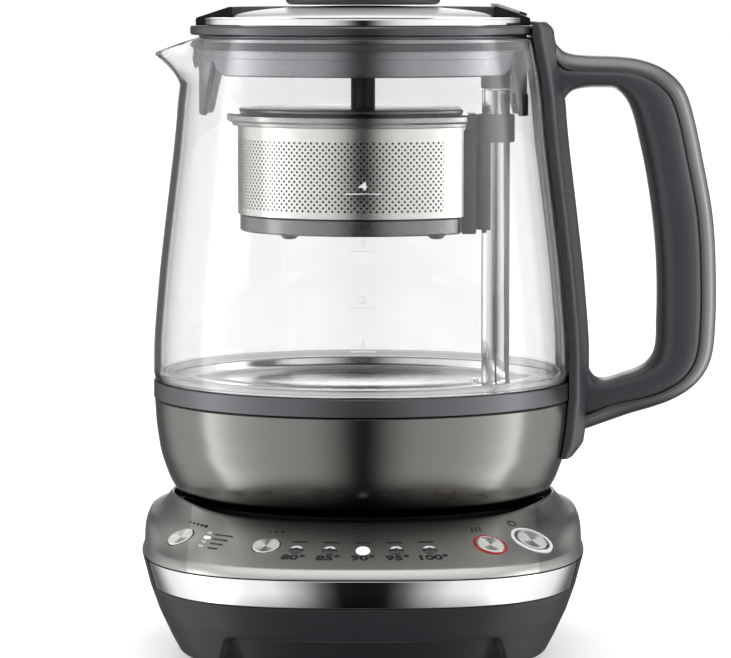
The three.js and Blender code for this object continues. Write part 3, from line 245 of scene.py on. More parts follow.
def welded(surface: Surface) -> Surface:
    """Merges points that lie on each other.

    Args:
        surface: A surface whose seams and poles have doubled points.

    Returns:
        The surface with single points, without the faces that this leaves with no area.
    """
    keys = np.round(surface.points, 4)
    _, first, where = np.unique(keys, axis=0, return_index=True, return_inverse=True)
    where = where.reshape(-1)
    faces = []
    for block in surface.faces:
        joined = where[block]
        doubled = joined == np.roll(joined, -1, axis=1)
        lost = doubled.sum(axis=1)
        for count in np.unique(lost):
            rest = block.shape[1] - int(count)
            rows = lost == count
            if rest > 2:
                faces.append(joined[rows][~doubled[rows]].reshape(-1, rest))
    return Surface(surface.points[first], faces)


def rounded(corners: Sequence[Sequence[float]], radii: float | Sequence[float], steps: int = 5,
            closed: bool = True) -> Array:
    """Rounds the corners of an outline.

    Each corner becomes a quadratic curve that starts and ends at the same distance from the
    corner along its two sides, and that distance never passes 0.48 of either side.

    Args:
        corners: The outline's corners.
        radii: One distance for all the corners, or one for each.
        steps: Segments in each curve.
        closed: Whether the outline closes; if not, its two ends stay sharp.

    Returns:
        The points of the rounded outline.
    """
    pts = np.asarray(corners, float)
    count = len(pts)
    sizes = np.full(count, radii, float) if np.isscalar(radii) else np.asarray(radii, float)
    out: list[Array] = []
    for i, p in enumerate(pts):
        ends = not closed and i in (0, count - 1)
        if ends or sizes[i] <= 0:
            out.append(p[None])
            continue
        before, after = pts[i - 1] - p, pts[(i + 1) % count] - p
        lb, la = np.linalg.norm(before), np.linalg.norm(after)
        d = min(sizes[i], 0.48 * lb, 0.48 * la)
        a, b = p + before / lb * d, p + after / la * d
        t = np.linspace(0, 1, steps + 1)[:, None]
        out.append((1 - t) ** 2 * a + 2 * t * (1 - t) * p + t ** 2 * b)
    return np.vstack(out)


def round_points(radius: Array, angle: Array, height: Array) -> Array:
    """Returns the points (r cos a, r sin a, z) of arrays that match each other."""
    return np.stack([radius * np.cos(angle), radius * np.sin(angle), np.broadcast_to(height, radius.shape)], -1)


def turned(profile: Array | Pairs, sides: int = 160, start: float = 0.0, sweep: float = TAU) -> Surface:
    """Turns a profile of radius and height about the jug's axis.

    A point at radius r and height z goes to (r cos a, r sin a, z) for each angle a. A profile
    that starts and ends on the axis gives a solid, and any other one is taken as closed on
    itself and gives a ring.

    Args:
        profile: Pairs of radius and height.
        sides: Steps round the axis.
        start: First angle.
        sweep: Angle turned through; under a full turn the ends are capped.

    Returns:
        The closed surface.
    """
    prof = np.asarray(profile, float)
    full = sweep > TAU - 1e-6
    angle = start + np.linspace(0, sweep, sides + 1)
    angle = angle[:-1] if full else angle
    r, z = prof[:, 0], prof[:, 1]
    pts = round_points(np.broadcast_to(r, (len(angle), len(r))), angle[:, None], z)
    on_axis = r[0] < 1e-6 and r[-1] < 1e-6
    if not full:
        return loft(pts)
    return welded(grid(pts, True, not on_axis)).outward()


@dataclass(frozen=True)
class Section:
    """A profile of corners with a rounding at each, to be turned about an axis.

    Attributes:
        corners: Pairs of radius and height in millimetres.
        rounding: One rounding for all the corners, or one for each.
        steps: Segments in each rounding.
        closed: Whether the profile closes on itself; if not, its two ends stay sharp.
    """

    corners: Pairs
    rounding: float | tuple[float, ...] = 0.0
    steps: int = 5
    closed: bool = True

    def turned(self, sides: int = 160, start: float = 0.0, sweep: float = TAU) -> Surface:
        """Returns the rounded profile turned about the axis."""
        return turned(rounded(self.corners, self.rounding, self.steps, self.closed), sides, start, sweep)


def levelled(outline: Array, height: float) -> Array:
    """Returns a flat outline as points at one height."""
    return np.column_stack([outline, np.full(len(outline), height)])


def slab(outline: Array, bottom: float, top: float) -> Surface:
    """Returns the solid between two heights over a closed outline."""
    return loft(np.array([levelled(outline, bottom), levelled(outline, top)]))


def prism(outline: Array, profile: Pairs) -> Surface:
    """Raises an outline into a solid whose edges follow a profile.

    A point moves inwards, square to the chord between its two neighbours, by each inset.

    Args:
        outline: Points of a convex closed outline, count by 2.
        profile: Pairs of inset and height from the bottom face to the top face.

    Returns:
        The closed surface.
    """
    pts = np.asarray(outline, float)
    ahead, behind = np.roll(pts, -1, 0), np.roll(pts, 1, 0)
    along = ahead - behind
    along /= np.linalg.norm(along, axis=1)[:, None] + TINY
    area = np.sum(pts[:, 0] * ahead[:, 1] - ahead[:, 0] * pts[:, 1])
    inward = np.stack([-along[:, 1], along[:, 0]], 1) * (1 if area > 0 else -1)
    return loft(np.array([levelled(pts + inward * inset, z) for inset, z in profile]))


def edge_profile(bottom: float, top: float, radius: float, steps: int = 4) -> Pairs:
    """Works out the profile of a wall whose two edges are rounded by quarter circles.

    Args:
        bottom: Height of the lower face.
        top: Height of the upper face.
        radius: Radius of both edges.
        steps: Segments in each edge.

    Returns:
        Pairs of inset and height.
    """
    t = np.linspace(0, math.pi / 2, steps + 1)
    low = [(radius * (1 - math.sin(a)), bottom + radius * (1 - math.cos(a))) for a in t]
    high = [(radius * (1 - math.cos(a)), top - radius * (1 - math.sin(a))) for a in t]
    return (*low, *high)


def between(first: Array, second: Array, reach: float, height: float) -> Array:
    """Steps from one outline towards another.

    Args:
        first: The outline to start from.
        second: An outline with as many points.
        reach: Length of the step.
        height: Height of the points.

    Returns:
        The points, count by 3.
    """
    step = second - first
    length = np.linalg.norm(step, axis=1)[:, None] + TINY
    return levelled(first + step / length * reach, height)


def tube_prism(outer: Array, inner: Array, bottom: float, top: float, edge: float) -> Surface:
    """Raises the ring between two outlines into a solid with cut edges.

    Args:
        outer: The outer outline.
        inner: The inner outline, with as many points.
        bottom: Height of the lower face.
        top: Height of the upper face.
        edge: Size of the cut along each edge.

    Returns:
        The closed ring.
    """
    rows = [between(outer, inner, share, z) for share, z in ((0.0, bottom + edge), (0.0, top - edge), (edge, top))]
    rows += [between(inner, outer, share, z)
             for share, z in ((edge, top), (0.0, top - edge), (0.0, bottom + edge), (edge, bottom))]
    rows.append(between(outer, inner, edge, bottom))
    return loft(np.array(rows), looped=True)


def catmull(points: Array, count: int) -> Array:
    """Samples a centripetal Catmull-Rom curve through points, evenly in its parameter.

    The knots of each stretch are the running sum of the square roots of the distances between
    its four points, and the curve is the usual pyramid of three linear mixes between them.

    Args:
        points: The points on the curve.
        count: Number of samples.

    Returns:
        The samples, count by 3.
    """
    p = np.vstack([2 * points[0] - points[1], points, 2 * points[-1] - points[-2]])
    s = np.linspace(0, len(points) - 1 - 1e-9, count)
    i = s.astype(int)
    level = p[i[:, None] + np.arange(4)]
    gaps = np.sqrt(np.linalg.norm(np.diff(level, axis=1), axis=2))
    knots = np.concatenate([np.zeros((count, 1)), np.cumsum(gaps, axis=1)], 1)
    t = (knots[:, 1] + (s - i) * (knots[:, 2] - knots[:, 1]))[:, None]
    for k in (1, 2, 3):
        low, high = knots[:, :4 - k], knots[:, k:]
        level = (((high - t)[..., None] * level[:, :-1] + (t - low)[..., None] * level[:, 1:])
                 / (high - low)[..., None])
    return level[:, 0]


def smooth_step(x: Array) -> Array:
    """Returns 0 below 0, 1 above 1 and a smooth rise between."""
    t = np.clip(x, 0, 1)
    return t * t * (3 - 2 * t)


def mix(a: Any, b: Any, share: Any) -> Any:
    """Returns the number or the array that lies a share of the way from a to b."""
    return a + (b - a) * share


def smooth_table(values: Sequence[float], at: Array) -> Array:
    """Reads an even table with a cubic curve that keeps the table's slopes at its values.

    Args:
        values: The table.
        at: Places in it, from 0 to 1.

    Returns:
        The curve's values there.
    """
    v = np.asarray(values, float)
    s = np.clip(at, 0, 1) * (len(v) - 1)
    i = np.clip(s.astype(int), 0, len(v) - 2)
    f = s - i
    slope = np.gradient(v)
    h = f * f * (3 - 2 * f)
    return (v[i] * (1 - h) + v[i + 1] * h
            + slope[i] * f * (1 - f) ** 2 - slope[i + 1] * f ** 2 * (1 - f))


def soft_table(levels: Sequence[float], values: Sequence[float], at: Array, steps: int, reach: int,
               ends: float) -> Array:
    """Reads a table along straight lines whose corners are smoothed by a running mean.

    Args:
        levels: Places of the values, from 0 to 1.
        values: The table.
        at: Places to read.
        steps: Samples along the table.
        reach: Samples on each side that the mean takes in.
        ends: How quickly the smoothing starts from the two ends.

    Returns:
        The smoothed values.
    """
    fine = np.linspace(0, 1, steps)
    table = np.interp(fine, levels, values)
    window = 2 * reach + 1
    soft = np.convolve(np.pad(table, reach, mode="edge"), np.ones(window) / window, "valid")
    blend = np.clip(np.minimum(fine, 1 - fine) * ends, 0, 1)
    return np.interp(at, fine, mix(table, soft, blend))


def degrees_from(angle: Array, origin: float) -> Array:
    """Returns how many degrees each angle lies from an origin, whichever way round."""
    return np.degrees(np.abs(np.arctan2(np.sin(angle - origin), np.cos(angle - origin))))


def powered(t: Array, power: float) -> tuple[Array, Array]:
    """Returns x and y of the squared circle on which |x| and |y| to the power add up to 1."""
    x, y = (np.sign(wave) * np.abs(wave) ** (2 / power) for wave in (np.cos(t), np.sin(t)))
    return x, y


# Finishes


def set_inputs(node: bpy.types.Node, **values: Any) -> None:
    """Sets a node's sockets by name, with an underscore for each space."""
    for key, value in values.items():
        node.inputs[key.replace("_", " ")].default_value = value


class Nodes:
    """A small helper that adds and joins the nodes of one tree."""

    def __init__(self, tree: bpy.types.NodeTree) -> None:
        """Takes a tree, and its shader where it has one."""
        self.tree = tree
        self.shader = tree.nodes.get("Principled BSDF")

    def add(self, kind: str, **settings: Any) -> bpy.types.Node:
        """Adds a node, sets its properties, and sets or joins its inputs.

        Args:
            kind: The node type without its ShaderNode prefix.
            settings: Properties by name, and inputs by "in_" and their place.

        Returns:
            The node.
        """
        node = self.tree.nodes.new("ShaderNode" + kind)
        inputs = {key: value for key, value in settings.items() if key.startswith("in_")}
        for key, value in settings.items():
            if key not in inputs:
                setattr(node, key, value)
        for key, value in inputs.items():
            self.feed(node.inputs[int(key[3:])], value)
        return node

    def feed(self, socket: Socket, value: Any) -> None:
        """Joins an output to a socket, or sets the socket's own value.

        Args:
            socket: The input.
            value: An output, or a plain value.
        """
        if isinstance(value, Socket):
            self.tree.links.new(value, socket)
        else:
            socket.default_value = value

    def math(self, operation: str, *values: Any) -> Socket:
        """Adds a Math node."""
        return self.add("Math", operation=operation, **{f"in_{i}": value for i, value in enumerate(values)}).outputs[0]

    def place(self) -> Socket:
        """Returns the Object coordinates, which are the row frame's metres."""
        return self.add("TexCoord").outputs["Object"]

    def noise(self, place: Socket, **inputs: float) -> Socket:
        """Adds a noise.

        Args:
            place: Where it is read.
            inputs: Its sockets by name.

        Returns:
            Its value.
        """
        node = self.add("TexNoise", in_0=place)
        set_inputs(node, **inputs)
        return node.outputs[0]

    def bump(self, height: Socket, strength: float, distance: float) -> None:
        """Joins a height to the shader's normal.

        Args:
            height: The height, from 0 to 1.
            strength: How strongly it tilts the surface.
            distance: What a height of 1 measures, in metres.
        """
        node = self.add("Bump")
        for name, value in (("Strength", strength), ("Distance", distance), ("Height", height)):
            self.feed(node.inputs[name], value)
        self.feed(self.shader.inputs["Normal"], node.outputs[0])

    def ramp(self, factor: Socket, low: float, high: float) -> Socket:
        """Returns a noise's middle, from 0.3 to 0.7, spread over a range."""
        return self.add("MapRange", in_0=factor, in_1=0.3, in_2=0.7, in_3=low, in_4=high).outputs[0]

    def ease(self, value: Socket, low: float, high: float, first: float = 0.0) -> Socket:
        """Returns a smooth rise from a first value to 1 while the input goes from low to high."""
        return self.add("MapRange", interpolation_type="SMOOTHSTEP", in_0=value, in_1=low, in_2=high, in_3=first,
                        in_4=1.0).outputs[0]

    def tint(self, factor: Socket, color: Triple, low: float, high: float) -> Socket:
        """Mixes two strengths of a colour.

        Args:
            factor: The share of the second one.
            color: Linear colour.
            low: The first strength.
            high: The second strength.

        Returns:
            The mixed colour.
        """
        node = self.add("Mix", data_type="RGBA", in_0=factor)
        for i, strength in ((6, low), (7, high)):
            node.inputs[i].default_value = (*[min(c * strength, 1) for c in color], 1)
        return node.outputs[2]

    def times(self, color: Socket, shade: Socket) -> Socket:
        """Returns a colour multiplied by a shade."""
        return self.add("Mix", data_type="RGBA", blend_type="MULTIPLY", in_0=1.0, in_6=color, in_7=shade).outputs[2]


@dataclass(frozen=True)
class Finish(ABC):
    """How a piece's surface looks.

    Attributes:
        name: Its name, which is part of its material's name.
    """

    name: str

    @abstractmethod
    def paint(self, nodes: Nodes) -> None:
        """Sets the shader up."""

    def material(self) -> bpy.types.Material:
        """Makes the finish's material once, under a name that the frame's own don't have.

        Returns:
            The material.
        """
        title = f"finish_{self.name}"
        made = bpy.data.materials.get(title)
        if made is None:
            made = bpy.data.materials.new(title)
            made.use_nodes = True
            self.paint(Nodes(made.node_tree))
        return made


@dataclass(frozen=True)
class Metal(Finish):
    """A bare or tinted metal, brushed in one way.

    Attributes:
        color: Linear colour of the face-on reflection.
        roughness: Middle roughness.
        grain: The way it is brushed.
        depth: Depth of the brush lines in micrometres.
        centre: Centre of a spun finish, or the axis of a round one, in metres.
        anisotropy: How far highlights are drawn out across the lines.
        change: How far roughness changes from place to place, as a share.
        panel: Half width in metres of a middle band painted lighter than the rest, a painted
        reflection of the flat front panel, or 0 for none.
        panel_shade: Strength of the colour outside that panel.
        foot: Lowest and highest height in metres of a stretch of painted reflection, in which the
        metal darkens downwards to stand in for the dark reflection of the deck and the well,
        measured at the sides; it reaches higher towards the front.
        foot_shade: Strength of the colour below that stretch.
        foot_slope: How much higher it reaches for each metre towards the front.
        streaks: Lines in a metre along and across the brushing, or in a radian round it.
        cloud: Scale of the slow change of a polished metal.
    """

    color: Triple
    roughness: float = 0.25
    grain: Grain = Grain.NONE
    depth: float = 1.0
    centre: Triple = (0.0, 0.0, 0.0)
    anisotropy: float = 0.0
    change: float = 0.2
    panel: float = 0.0
    panel_shade: float = 0.74
    foot: tuple[float, float] = (0.0, 0.0)
    foot_shade: float = 0.02
    foot_slope: float = 0.18
    streaks: tuple[float, ...] = (1.5, 22.0, 300.0, 1600.0, 2600.0)
    cloud: float = 38.0

    def lines(self, nodes: Nodes, offset: Socket) -> Socket:
        """Stretches the coordinates along the brush lines.

        Round the axis they are angle, radius and height, each times its number of lines; across
        they are x, y and z times theirs; and a spun finish has the distance from its centre.

        Args:
            nodes: The material's nodes.
            offset: Place from the centre.

        Returns:
            The coordinates that the noise of the brush lines reads.
        """
        along, slow, radial, spun, fine = self.streaks
        x, y, z = nodes.add("SeparateXYZ", in_0=offset).outputs
        if self.grain is Grain.SPUN:
            length = nodes.add("VectorMath", operation="LENGTH", in_0=offset).outputs[1]
            parts = ((length, spun),)
        elif self.grain is Grain.ROUND:
            square = nodes.math("ADD", nodes.math("MULTIPLY", x, x), nodes.math("MULTIPLY", y, y))
            parts = ((nodes.math("ARCTAN2", y, x), along), (nodes.math("SQRT", square), radial), (z, fine))
        else:
            parts = ((x, slow), (y, fine), (z, fine))
        values = {f"in_{i}": nodes.math("MULTIPLY", part, count) for i, (part, count) in enumerate(parts)}
        return nodes.add("CombineXYZ", **values).outputs[0]

    def paint(self, nodes: Nodes) -> None:
        """Sets up brush lines, slow changes, darker places and drawn-out highlights.

        Args:
            nodes: The nodes of its material.
        """
        shader = nodes.shader
        set_inputs(shader, Metallic=1.0)
        offset = nodes.add("VectorMath", operation="SUBTRACT", in_0=nodes.place(), in_1=self.centre).outputs[0]
        if self.grain is Grain.NONE:
            noise = nodes.noise(nodes.place(), Scale=self.cloud, Detail=2.0)
        else:
            noise = nodes.noise(self.lines(nodes, offset), Scale=1.0, Detail=3.0, Roughness=0.65)
            nodes.bump(noise, 0.3, self.depth * MICRON)
        nodes.feed(shader.inputs["Roughness"], nodes.ramp(noise, self.roughness * (1 - self.change),
                                                           self.roughness * (1 + self.change)))
        color = nodes.tint(noise, self.color, 1 - self.change / 3, 1 + self.change / 3)
        x, y, z = nodes.add("SeparateXYZ", in_0=offset).outputs
        # Painted reflection: outside a middle band the colour is darkened, so that the flat front panel looks lit.
        if self.panel:
            inside = nodes.math("LESS_THAN", nodes.math("ABSOLUTE", x), self.panel)
            color = nodes.times(color, nodes.tint(inside, (1, 1, 1), self.panel_shade, 1))
        # Painted reflection: the colour darkens downwards towards the foot, standing in for the dark reflection of the
        # deck and the well.
        if self.foot[1]:
            level = nodes.math("ADD", z, nodes.math("MULTIPLY", y, self.foot_slope))
            color = nodes.times(color, nodes.ease(level, *self.foot, self.foot_shade))
        nodes.feed(shader.inputs["Base Color"], color)
        if self.anisotropy:
            set_inputs(shader, Anisotropic=self.anisotropy)
            normal = nodes.add("NewGeometry").outputs["Normal"]
            across = nodes.add("VectorMath", operation="CROSS_PRODUCT", in_0=normal, in_1=offset)
            nodes.feed(shader.inputs["Tangent"], across.outputs[0])


@dataclass(frozen=True)
class Plastic(Finish):
    """A moulded plastic or rubber with a fine grain.

    Attributes:
        color: Linear base colour.
        roughness: Middle roughness.
        grain: Size of the grain, as the noise's scale.
        depth: Depth of the grain in micrometres.
        gloss: Specular level.
    """

    color: Triple
    roughness: float = 0.45
    grain: float = 2400.0
    depth: float = 12.0
    gloss: float = 0.5

    def paint(self, nodes: Nodes) -> None:
        """Sets up the grain and a slow change of colour and roughness.

        Args:
            nodes: The nodes of its material.
        """
        place, shader = nodes.place(), nodes.shader
        set_inputs(shader, Specular_IOR_Level=self.gloss)
        fine = nodes.noise(place, Scale=self.grain, Detail=2.0)
        broad = nodes.noise(place, Scale=30.0, Detail=3.0)
        nodes.feed(shader.inputs["Roughness"], nodes.ramp(broad, self.roughness * 0.88, self.roughness * 1.12))
        nodes.feed(shader.inputs["Base Color"], nodes.tint(broad, self.color, 0.9, 1.1))
        nodes.bump(fine, 0.25, self.depth * MICRON)


@dataclass(frozen=True)
class Clear(Finish):
    """Clear glass, or a clear plastic lens.

    Attributes:
        color: Linear tint.
        roughness: How frosted it is.
        glow: Strength of its own light, for a lit lens.
        milky: Share that doesn't let light through.
        density: How fast the body takes light up, per metre.
        shadow: Linear colour that the body leaves of the light.
    """

    color: Triple = (1.0, 1.0, 1.0)
    roughness: float = 0.0
    glow: float = 0.0
    milky: float = 0.0
    density: float = 0.0
    shadow: Triple = (0.12, 0.135, 0.14)

    def paint(self, nodes: Nodes) -> None:
        """Sets up the clear body, with a slow change of its tint and its frosting.

        Args:
            nodes: The nodes of its material.
        """
        shader = nodes.shader
        broad = nodes.noise(nodes.place(), Scale=12.0, Detail=1.0)
        set_inputs(shader, Transmission_Weight=1.0 - self.milky, IOR=1.46)
        nodes.feed(shader.inputs["Base Color"], nodes.tint(broad, self.color, 0.985, 1))
        frosting = nodes.ramp(broad, self.roughness * 0.9, self.roughness * 1.1) if self.roughness else 0.0
        nodes.feed(shader.inputs["Roughness"], frosting)
        if self.glow:
            set_inputs(shader, Emission_Color=(*self.color, 1), Emission_Strength=self.glow)
        if self.density:
            body = nodes.add("VolumeAbsorption")
            set_inputs(body, Color=(*self.shadow, 1), Density=self.density)
            nodes.feed(nodes.tree.nodes["Material Output"].inputs["Volume"], body.outputs[0])


class Palette:
    """Every finish of the tea maker."""

    def __init__(self, axis: Triple) -> None:
        """Mixes the finishes.

        Args:
            axis: The jug's axis in metres, which round brush lines follow.
        """
        brushed = Grain.ROUND
        # Metals of the base and the jug
        # The shell's foot is painted darker, a painted reflection of the dark deck and well below it.
        self.shell = Metal("shell_steel", (0.206, 0.203, 0.19), 0.18, brushed, 0.4, axis, change=0.08,
                           foot=(0.047, 0.062))
        # The deck's flat front panel is painted lighter than the shoulders beside it, a painted reflection.
        self.deck = Metal("deck_metal", (0.575, 0.57, 0.545), 0.28, Grain.ACROSS, 0.12, axis, change=0.03, panel=0.0625)
        self.chrome = Metal("band_chrome", (0.88, 0.88, 0.88), 0.04, change=0.1)
        self.steel = Metal("plain_steel", (0.78, 0.78, 0.78), 0.14, brushed, 0.4, axis)
        self.pole = Metal("pole_steel", (0.82, 0.82, 0.82), 0.07)
        self.trim = Metal("handle_trim_metal", (0.235, 0.232, 0.226), 0.32, change=0.12)
        self.band = Metal("band_smoked", (0.13, 0.132, 0.14), 0.36, change=0.08)
        # Metals of the basket
        self.basket = Metal("basket_steel", (0.86, 0.845, 0.805), 0.21, brushed, 0.15, axis, change=0.08)
        self.dark_steel = Metal("basket_dark_steel", (0.42, 0.42, 0.405), 0.2, change=0.1)
        self.cup = Metal("cup_steel", (0.22, 0.22, 0.217), 0.2, change=0.1)
        self.plate_lid = Metal("plate_lid_steel", (0.2, 0.202, 0.192), 0.3, brushed, 0.2, axis)
        self.lining = Metal("lining_steel", (0.05, 0.05, 0.05), 0.45, brushed, 0.4, axis)
        # Satin plastics and metals of the lid
        self.lid = Metal("lid_satin", (0.115, 0.117, 0.125), 0.3, change=0.08)
        self.skirt = Metal("skirt_gloss", (0.345, 0.342, 0.37), 0.27, change=0.06)
        self.dome = Metal("dome_steel", (0.9, 0.9, 0.9), 0.42, brushed, 0.12, axis, change=0.08)
        self.tier = Metal("tier_steel", (0.88, 0.88, 0.88), 0.09, brushed, 0.1, axis, change=0.08)
        # Moulded plastics, rubbers and prints
        self.housing = Plastic("housing_plastic", (0.021, 0.022, 0.026), 0.4, depth=6.0, gloss=0.28)
        self.grip = Plastic("grip_plastic", (0.047, 0.05, 0.056), 0.36, depth=7.0)
        self.dark = Plastic("rim_plastic", (0.016, 0.016, 0.017), 0.24, depth=3.0)
        self.knob = Plastic("knob_plastic", (0.028, 0.029, 0.031), 0.36, depth=7.0)
        self.tab = Plastic("tab_plastic", (0.6, 0.6, 0.62), 0.4, depth=5.0)
        self.black = Plastic("black_plastic", (0.012, 0.012, 0.013), 0.5)
        self.grey = Plastic("grey_plastic", (0.075, 0.078, 0.077), 0.4, depth=5.0)
        self.rubber = Plastic("foot_rubber", (0.02, 0.02, 0.02), 0.75, 1500.0, 30.0)
        self.seal = Plastic("seal_rubber", (0.5, 0.51, 0.52), 0.5, 1500.0, 8.0)
        self.dark_seal = Plastic("dark_seal_rubber", (0.1, 0.1, 0.108), 0.5, 1500.0, 8.0)
        self.smoked = Plastic("lamp_smoked", (0.035, 0.036, 0.038), 0.18, depth=1.0)
        self.ceramic = Plastic("control_ceramic", (0.62, 0.56, 0.45), 0.6)
        self.board = Plastic("board_laminate", (0.02, 0.11, 0.05), 0.5)
        self.print_dark = Plastic("dark_print", (0.008, 0.008, 0.009), 0.5, depth=1.0)
        # White print, also used for the painted highlight on the unlit lamps.
        self.print_white = Plastic("white_print_and_painted_highlight", (0.85, 0.85, 0.85), 0.5, depth=1.0)
        # Clear bodies; the glass darkens where it is seen edge-on
        self.glass = Clear("jug_glass", (0.985, 0.99, 0.99), density=30.0)
        self.clear_seal = Clear("silicone_clear", (0.93, 0.94, 0.94), 0.12, milky=0.25)
        self.lens = Clear("lens_plastic", (0.8, 0.81, 0.82), 0.15, milky=0.75)
        self.lit = Clear("lit_lens", (0.95, 0.98, 1.0), 0.2, glow=0.6, milky=0.9)
        self.ring = Clear("ring_white", (0.85, 0.86, 0.87), 0.25, glow=0.1, milky=0.9)
        self.red = Clear("red_lens", (0.42, 0.008, 0.012), 0.2, glow=0.12, milky=0.85)

    @staticmethod
    def spun(name: str, centre: Array) -> Metal:
        """Returns the spun metal of a button, in circles about the button's centre in metres."""
        return Metal(name, (0.86, 0.86, 0.84), 0.4, Grain.SPUN, 0.02, tuple(centre), 0.97, 0.1)


# Pieces


class Bench:
    """Makes the objects of the scene and hangs them on the frame's bodies."""

    def __init__(self, frame: dict) -> None:
        """Finds the jug's axis in the middle of the seal's box.
        """
        self.frame = frame
        low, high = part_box("glass_seal")
        self.axis = np.array([(low.x + high.x) / 2, (low.y + high.y) / 2, 0.0]) / MM
        self.made: list[bpy.types.Object] = []

    @property
    def centre(self) -> Triple:
        """The jug's axis in metres, in the row frame."""
        return (self.axis[0] * MM, self.axis[1] * MM, 0.0)

    def mesh(self, name: str, surface: Surface, crease: float = CREASE) -> bpy.types.Mesh:
        """Makes a smooth mesh in the row frame.

        Args:
            name: The mesh's name.
            surface: Its form.
            crease: Angle in degrees above which an edge is sharp.

        Returns:
            The mesh.
        """
        mesh = bpy.data.meshes.new(name)
        mesh.from_pydata(((surface.points + self.axis) * MM).tolist(), [], surface.corners())
        mesh.update()
        mesh.shade_smooth()
        mesh.set_sharp_from_angle(angle=math.radians(crease))
        return mesh

    def piece(self, name: str, surface: Surface, finish: Finish, body: Body,
              replaces: Iterable[str] = (), slot: Optional[str] = None,
              crease: float = CREASE) -> bpy.types.Object:
        """Adds a piece to the scene, with its finish and its body.

        Args:
            name: The piece's name.
            surface: Its form.
            finish: Its finish.
            body: The body that it moves with.
            replaces: CAD nodes that it stands for.
            slot: The record's material slot; not used.
            crease: Angle in degrees above which an edge is sharp.

        Returns:
            The new object.
        """
        obj = bpy.data.objects.new(name, self.mesh(name, surface, crease))
        bpy.context.scene.collection.objects.link(obj)
        obj.data.materials.append(finish.material())
        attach(obj, body.value)
        names = list(replaces)
        if names:
            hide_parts(*names)
        self.made.append(obj)
        log.info("%s: %d faces, %s", name, len(obj.data.polygons), finish.name)
        return obj

    def dress(self, finish: Finish, *names: str) -> None:
        """Gives CAD nodes that stay a finish.

        Args:
            finish: The finish.
            names: The nodes.
        """
        for name in names:
            node = self.frame["nodes"][name]
            node.data.materials.clear()
            node.data.materials.append(finish.material())
            log.info("%s keeps its form, %s", name, finish.name)

    def carve(self, obj: bpy.types.Object, cutters: Sequence[Surface]) -> None:
        """Cuts solids out of an object and applies the cut, so that its mesh is final.

        Args:
            obj: The object.
            cutters: The solids that are taken away.
        """
        name = obj.name + "_tool"
        tool = bpy.data.objects.new(name, self.mesh(name, cutters[0].plus(*cutters[1:])))
        bpy.context.scene.collection.objects.link(tool)
        cut = obj.modifiers.new("cut", "BOOLEAN")
        cut.object, cut.operation, cut.solver = tool, "DIFFERENCE", "EXACT"
        graph = bpy.context.evaluated_depsgraph_get()
        done = bpy.data.meshes.new_from_object(obj.evaluated_get(graph))
        obj.modifiers.clear()
        obj.data = done
        bpy.data.objects.remove(tool)
        done.set_sharp_from_angle(angle=math.radians(CREASE))


# Power base


@dataclass(frozen=True)
class Control:
    """One push button on the panel.

    Attributes:
        name: Its name in the frame.
        body: The body that it moves with.
        degrees: Angle from the front about the jug's axis.
        share: Place up the panel's slope, from the lip to the well.
        radius: Radius of its cap in millimetres.
        ringed: Whether a lit ring goes round it.
        margin: Width of the hole left round the cap in millimetres.
    """

    name: str
    body: Body
    degrees: float
    share: float
    radius: float
    ringed: bool = False
    margin: float = 0.35

    @property
    def place(self) -> tuple[float, float]:
        """Its angle and its share."""
        return self.degrees, self.share


CONTROLS = (
    Control("strength", Body.STRENGTH, -49.2, 0.434, 4.9),
    Control("temperature", Body.TEMPERATURE, -23.1, 0.492, 4.9),
    Control("warm", Body.WARM, 30.9, 0.465, 4.9, True, 1.45),
    Control("start", Body.START, 43.9, 0.436, 5.6, True, 2.45),
)


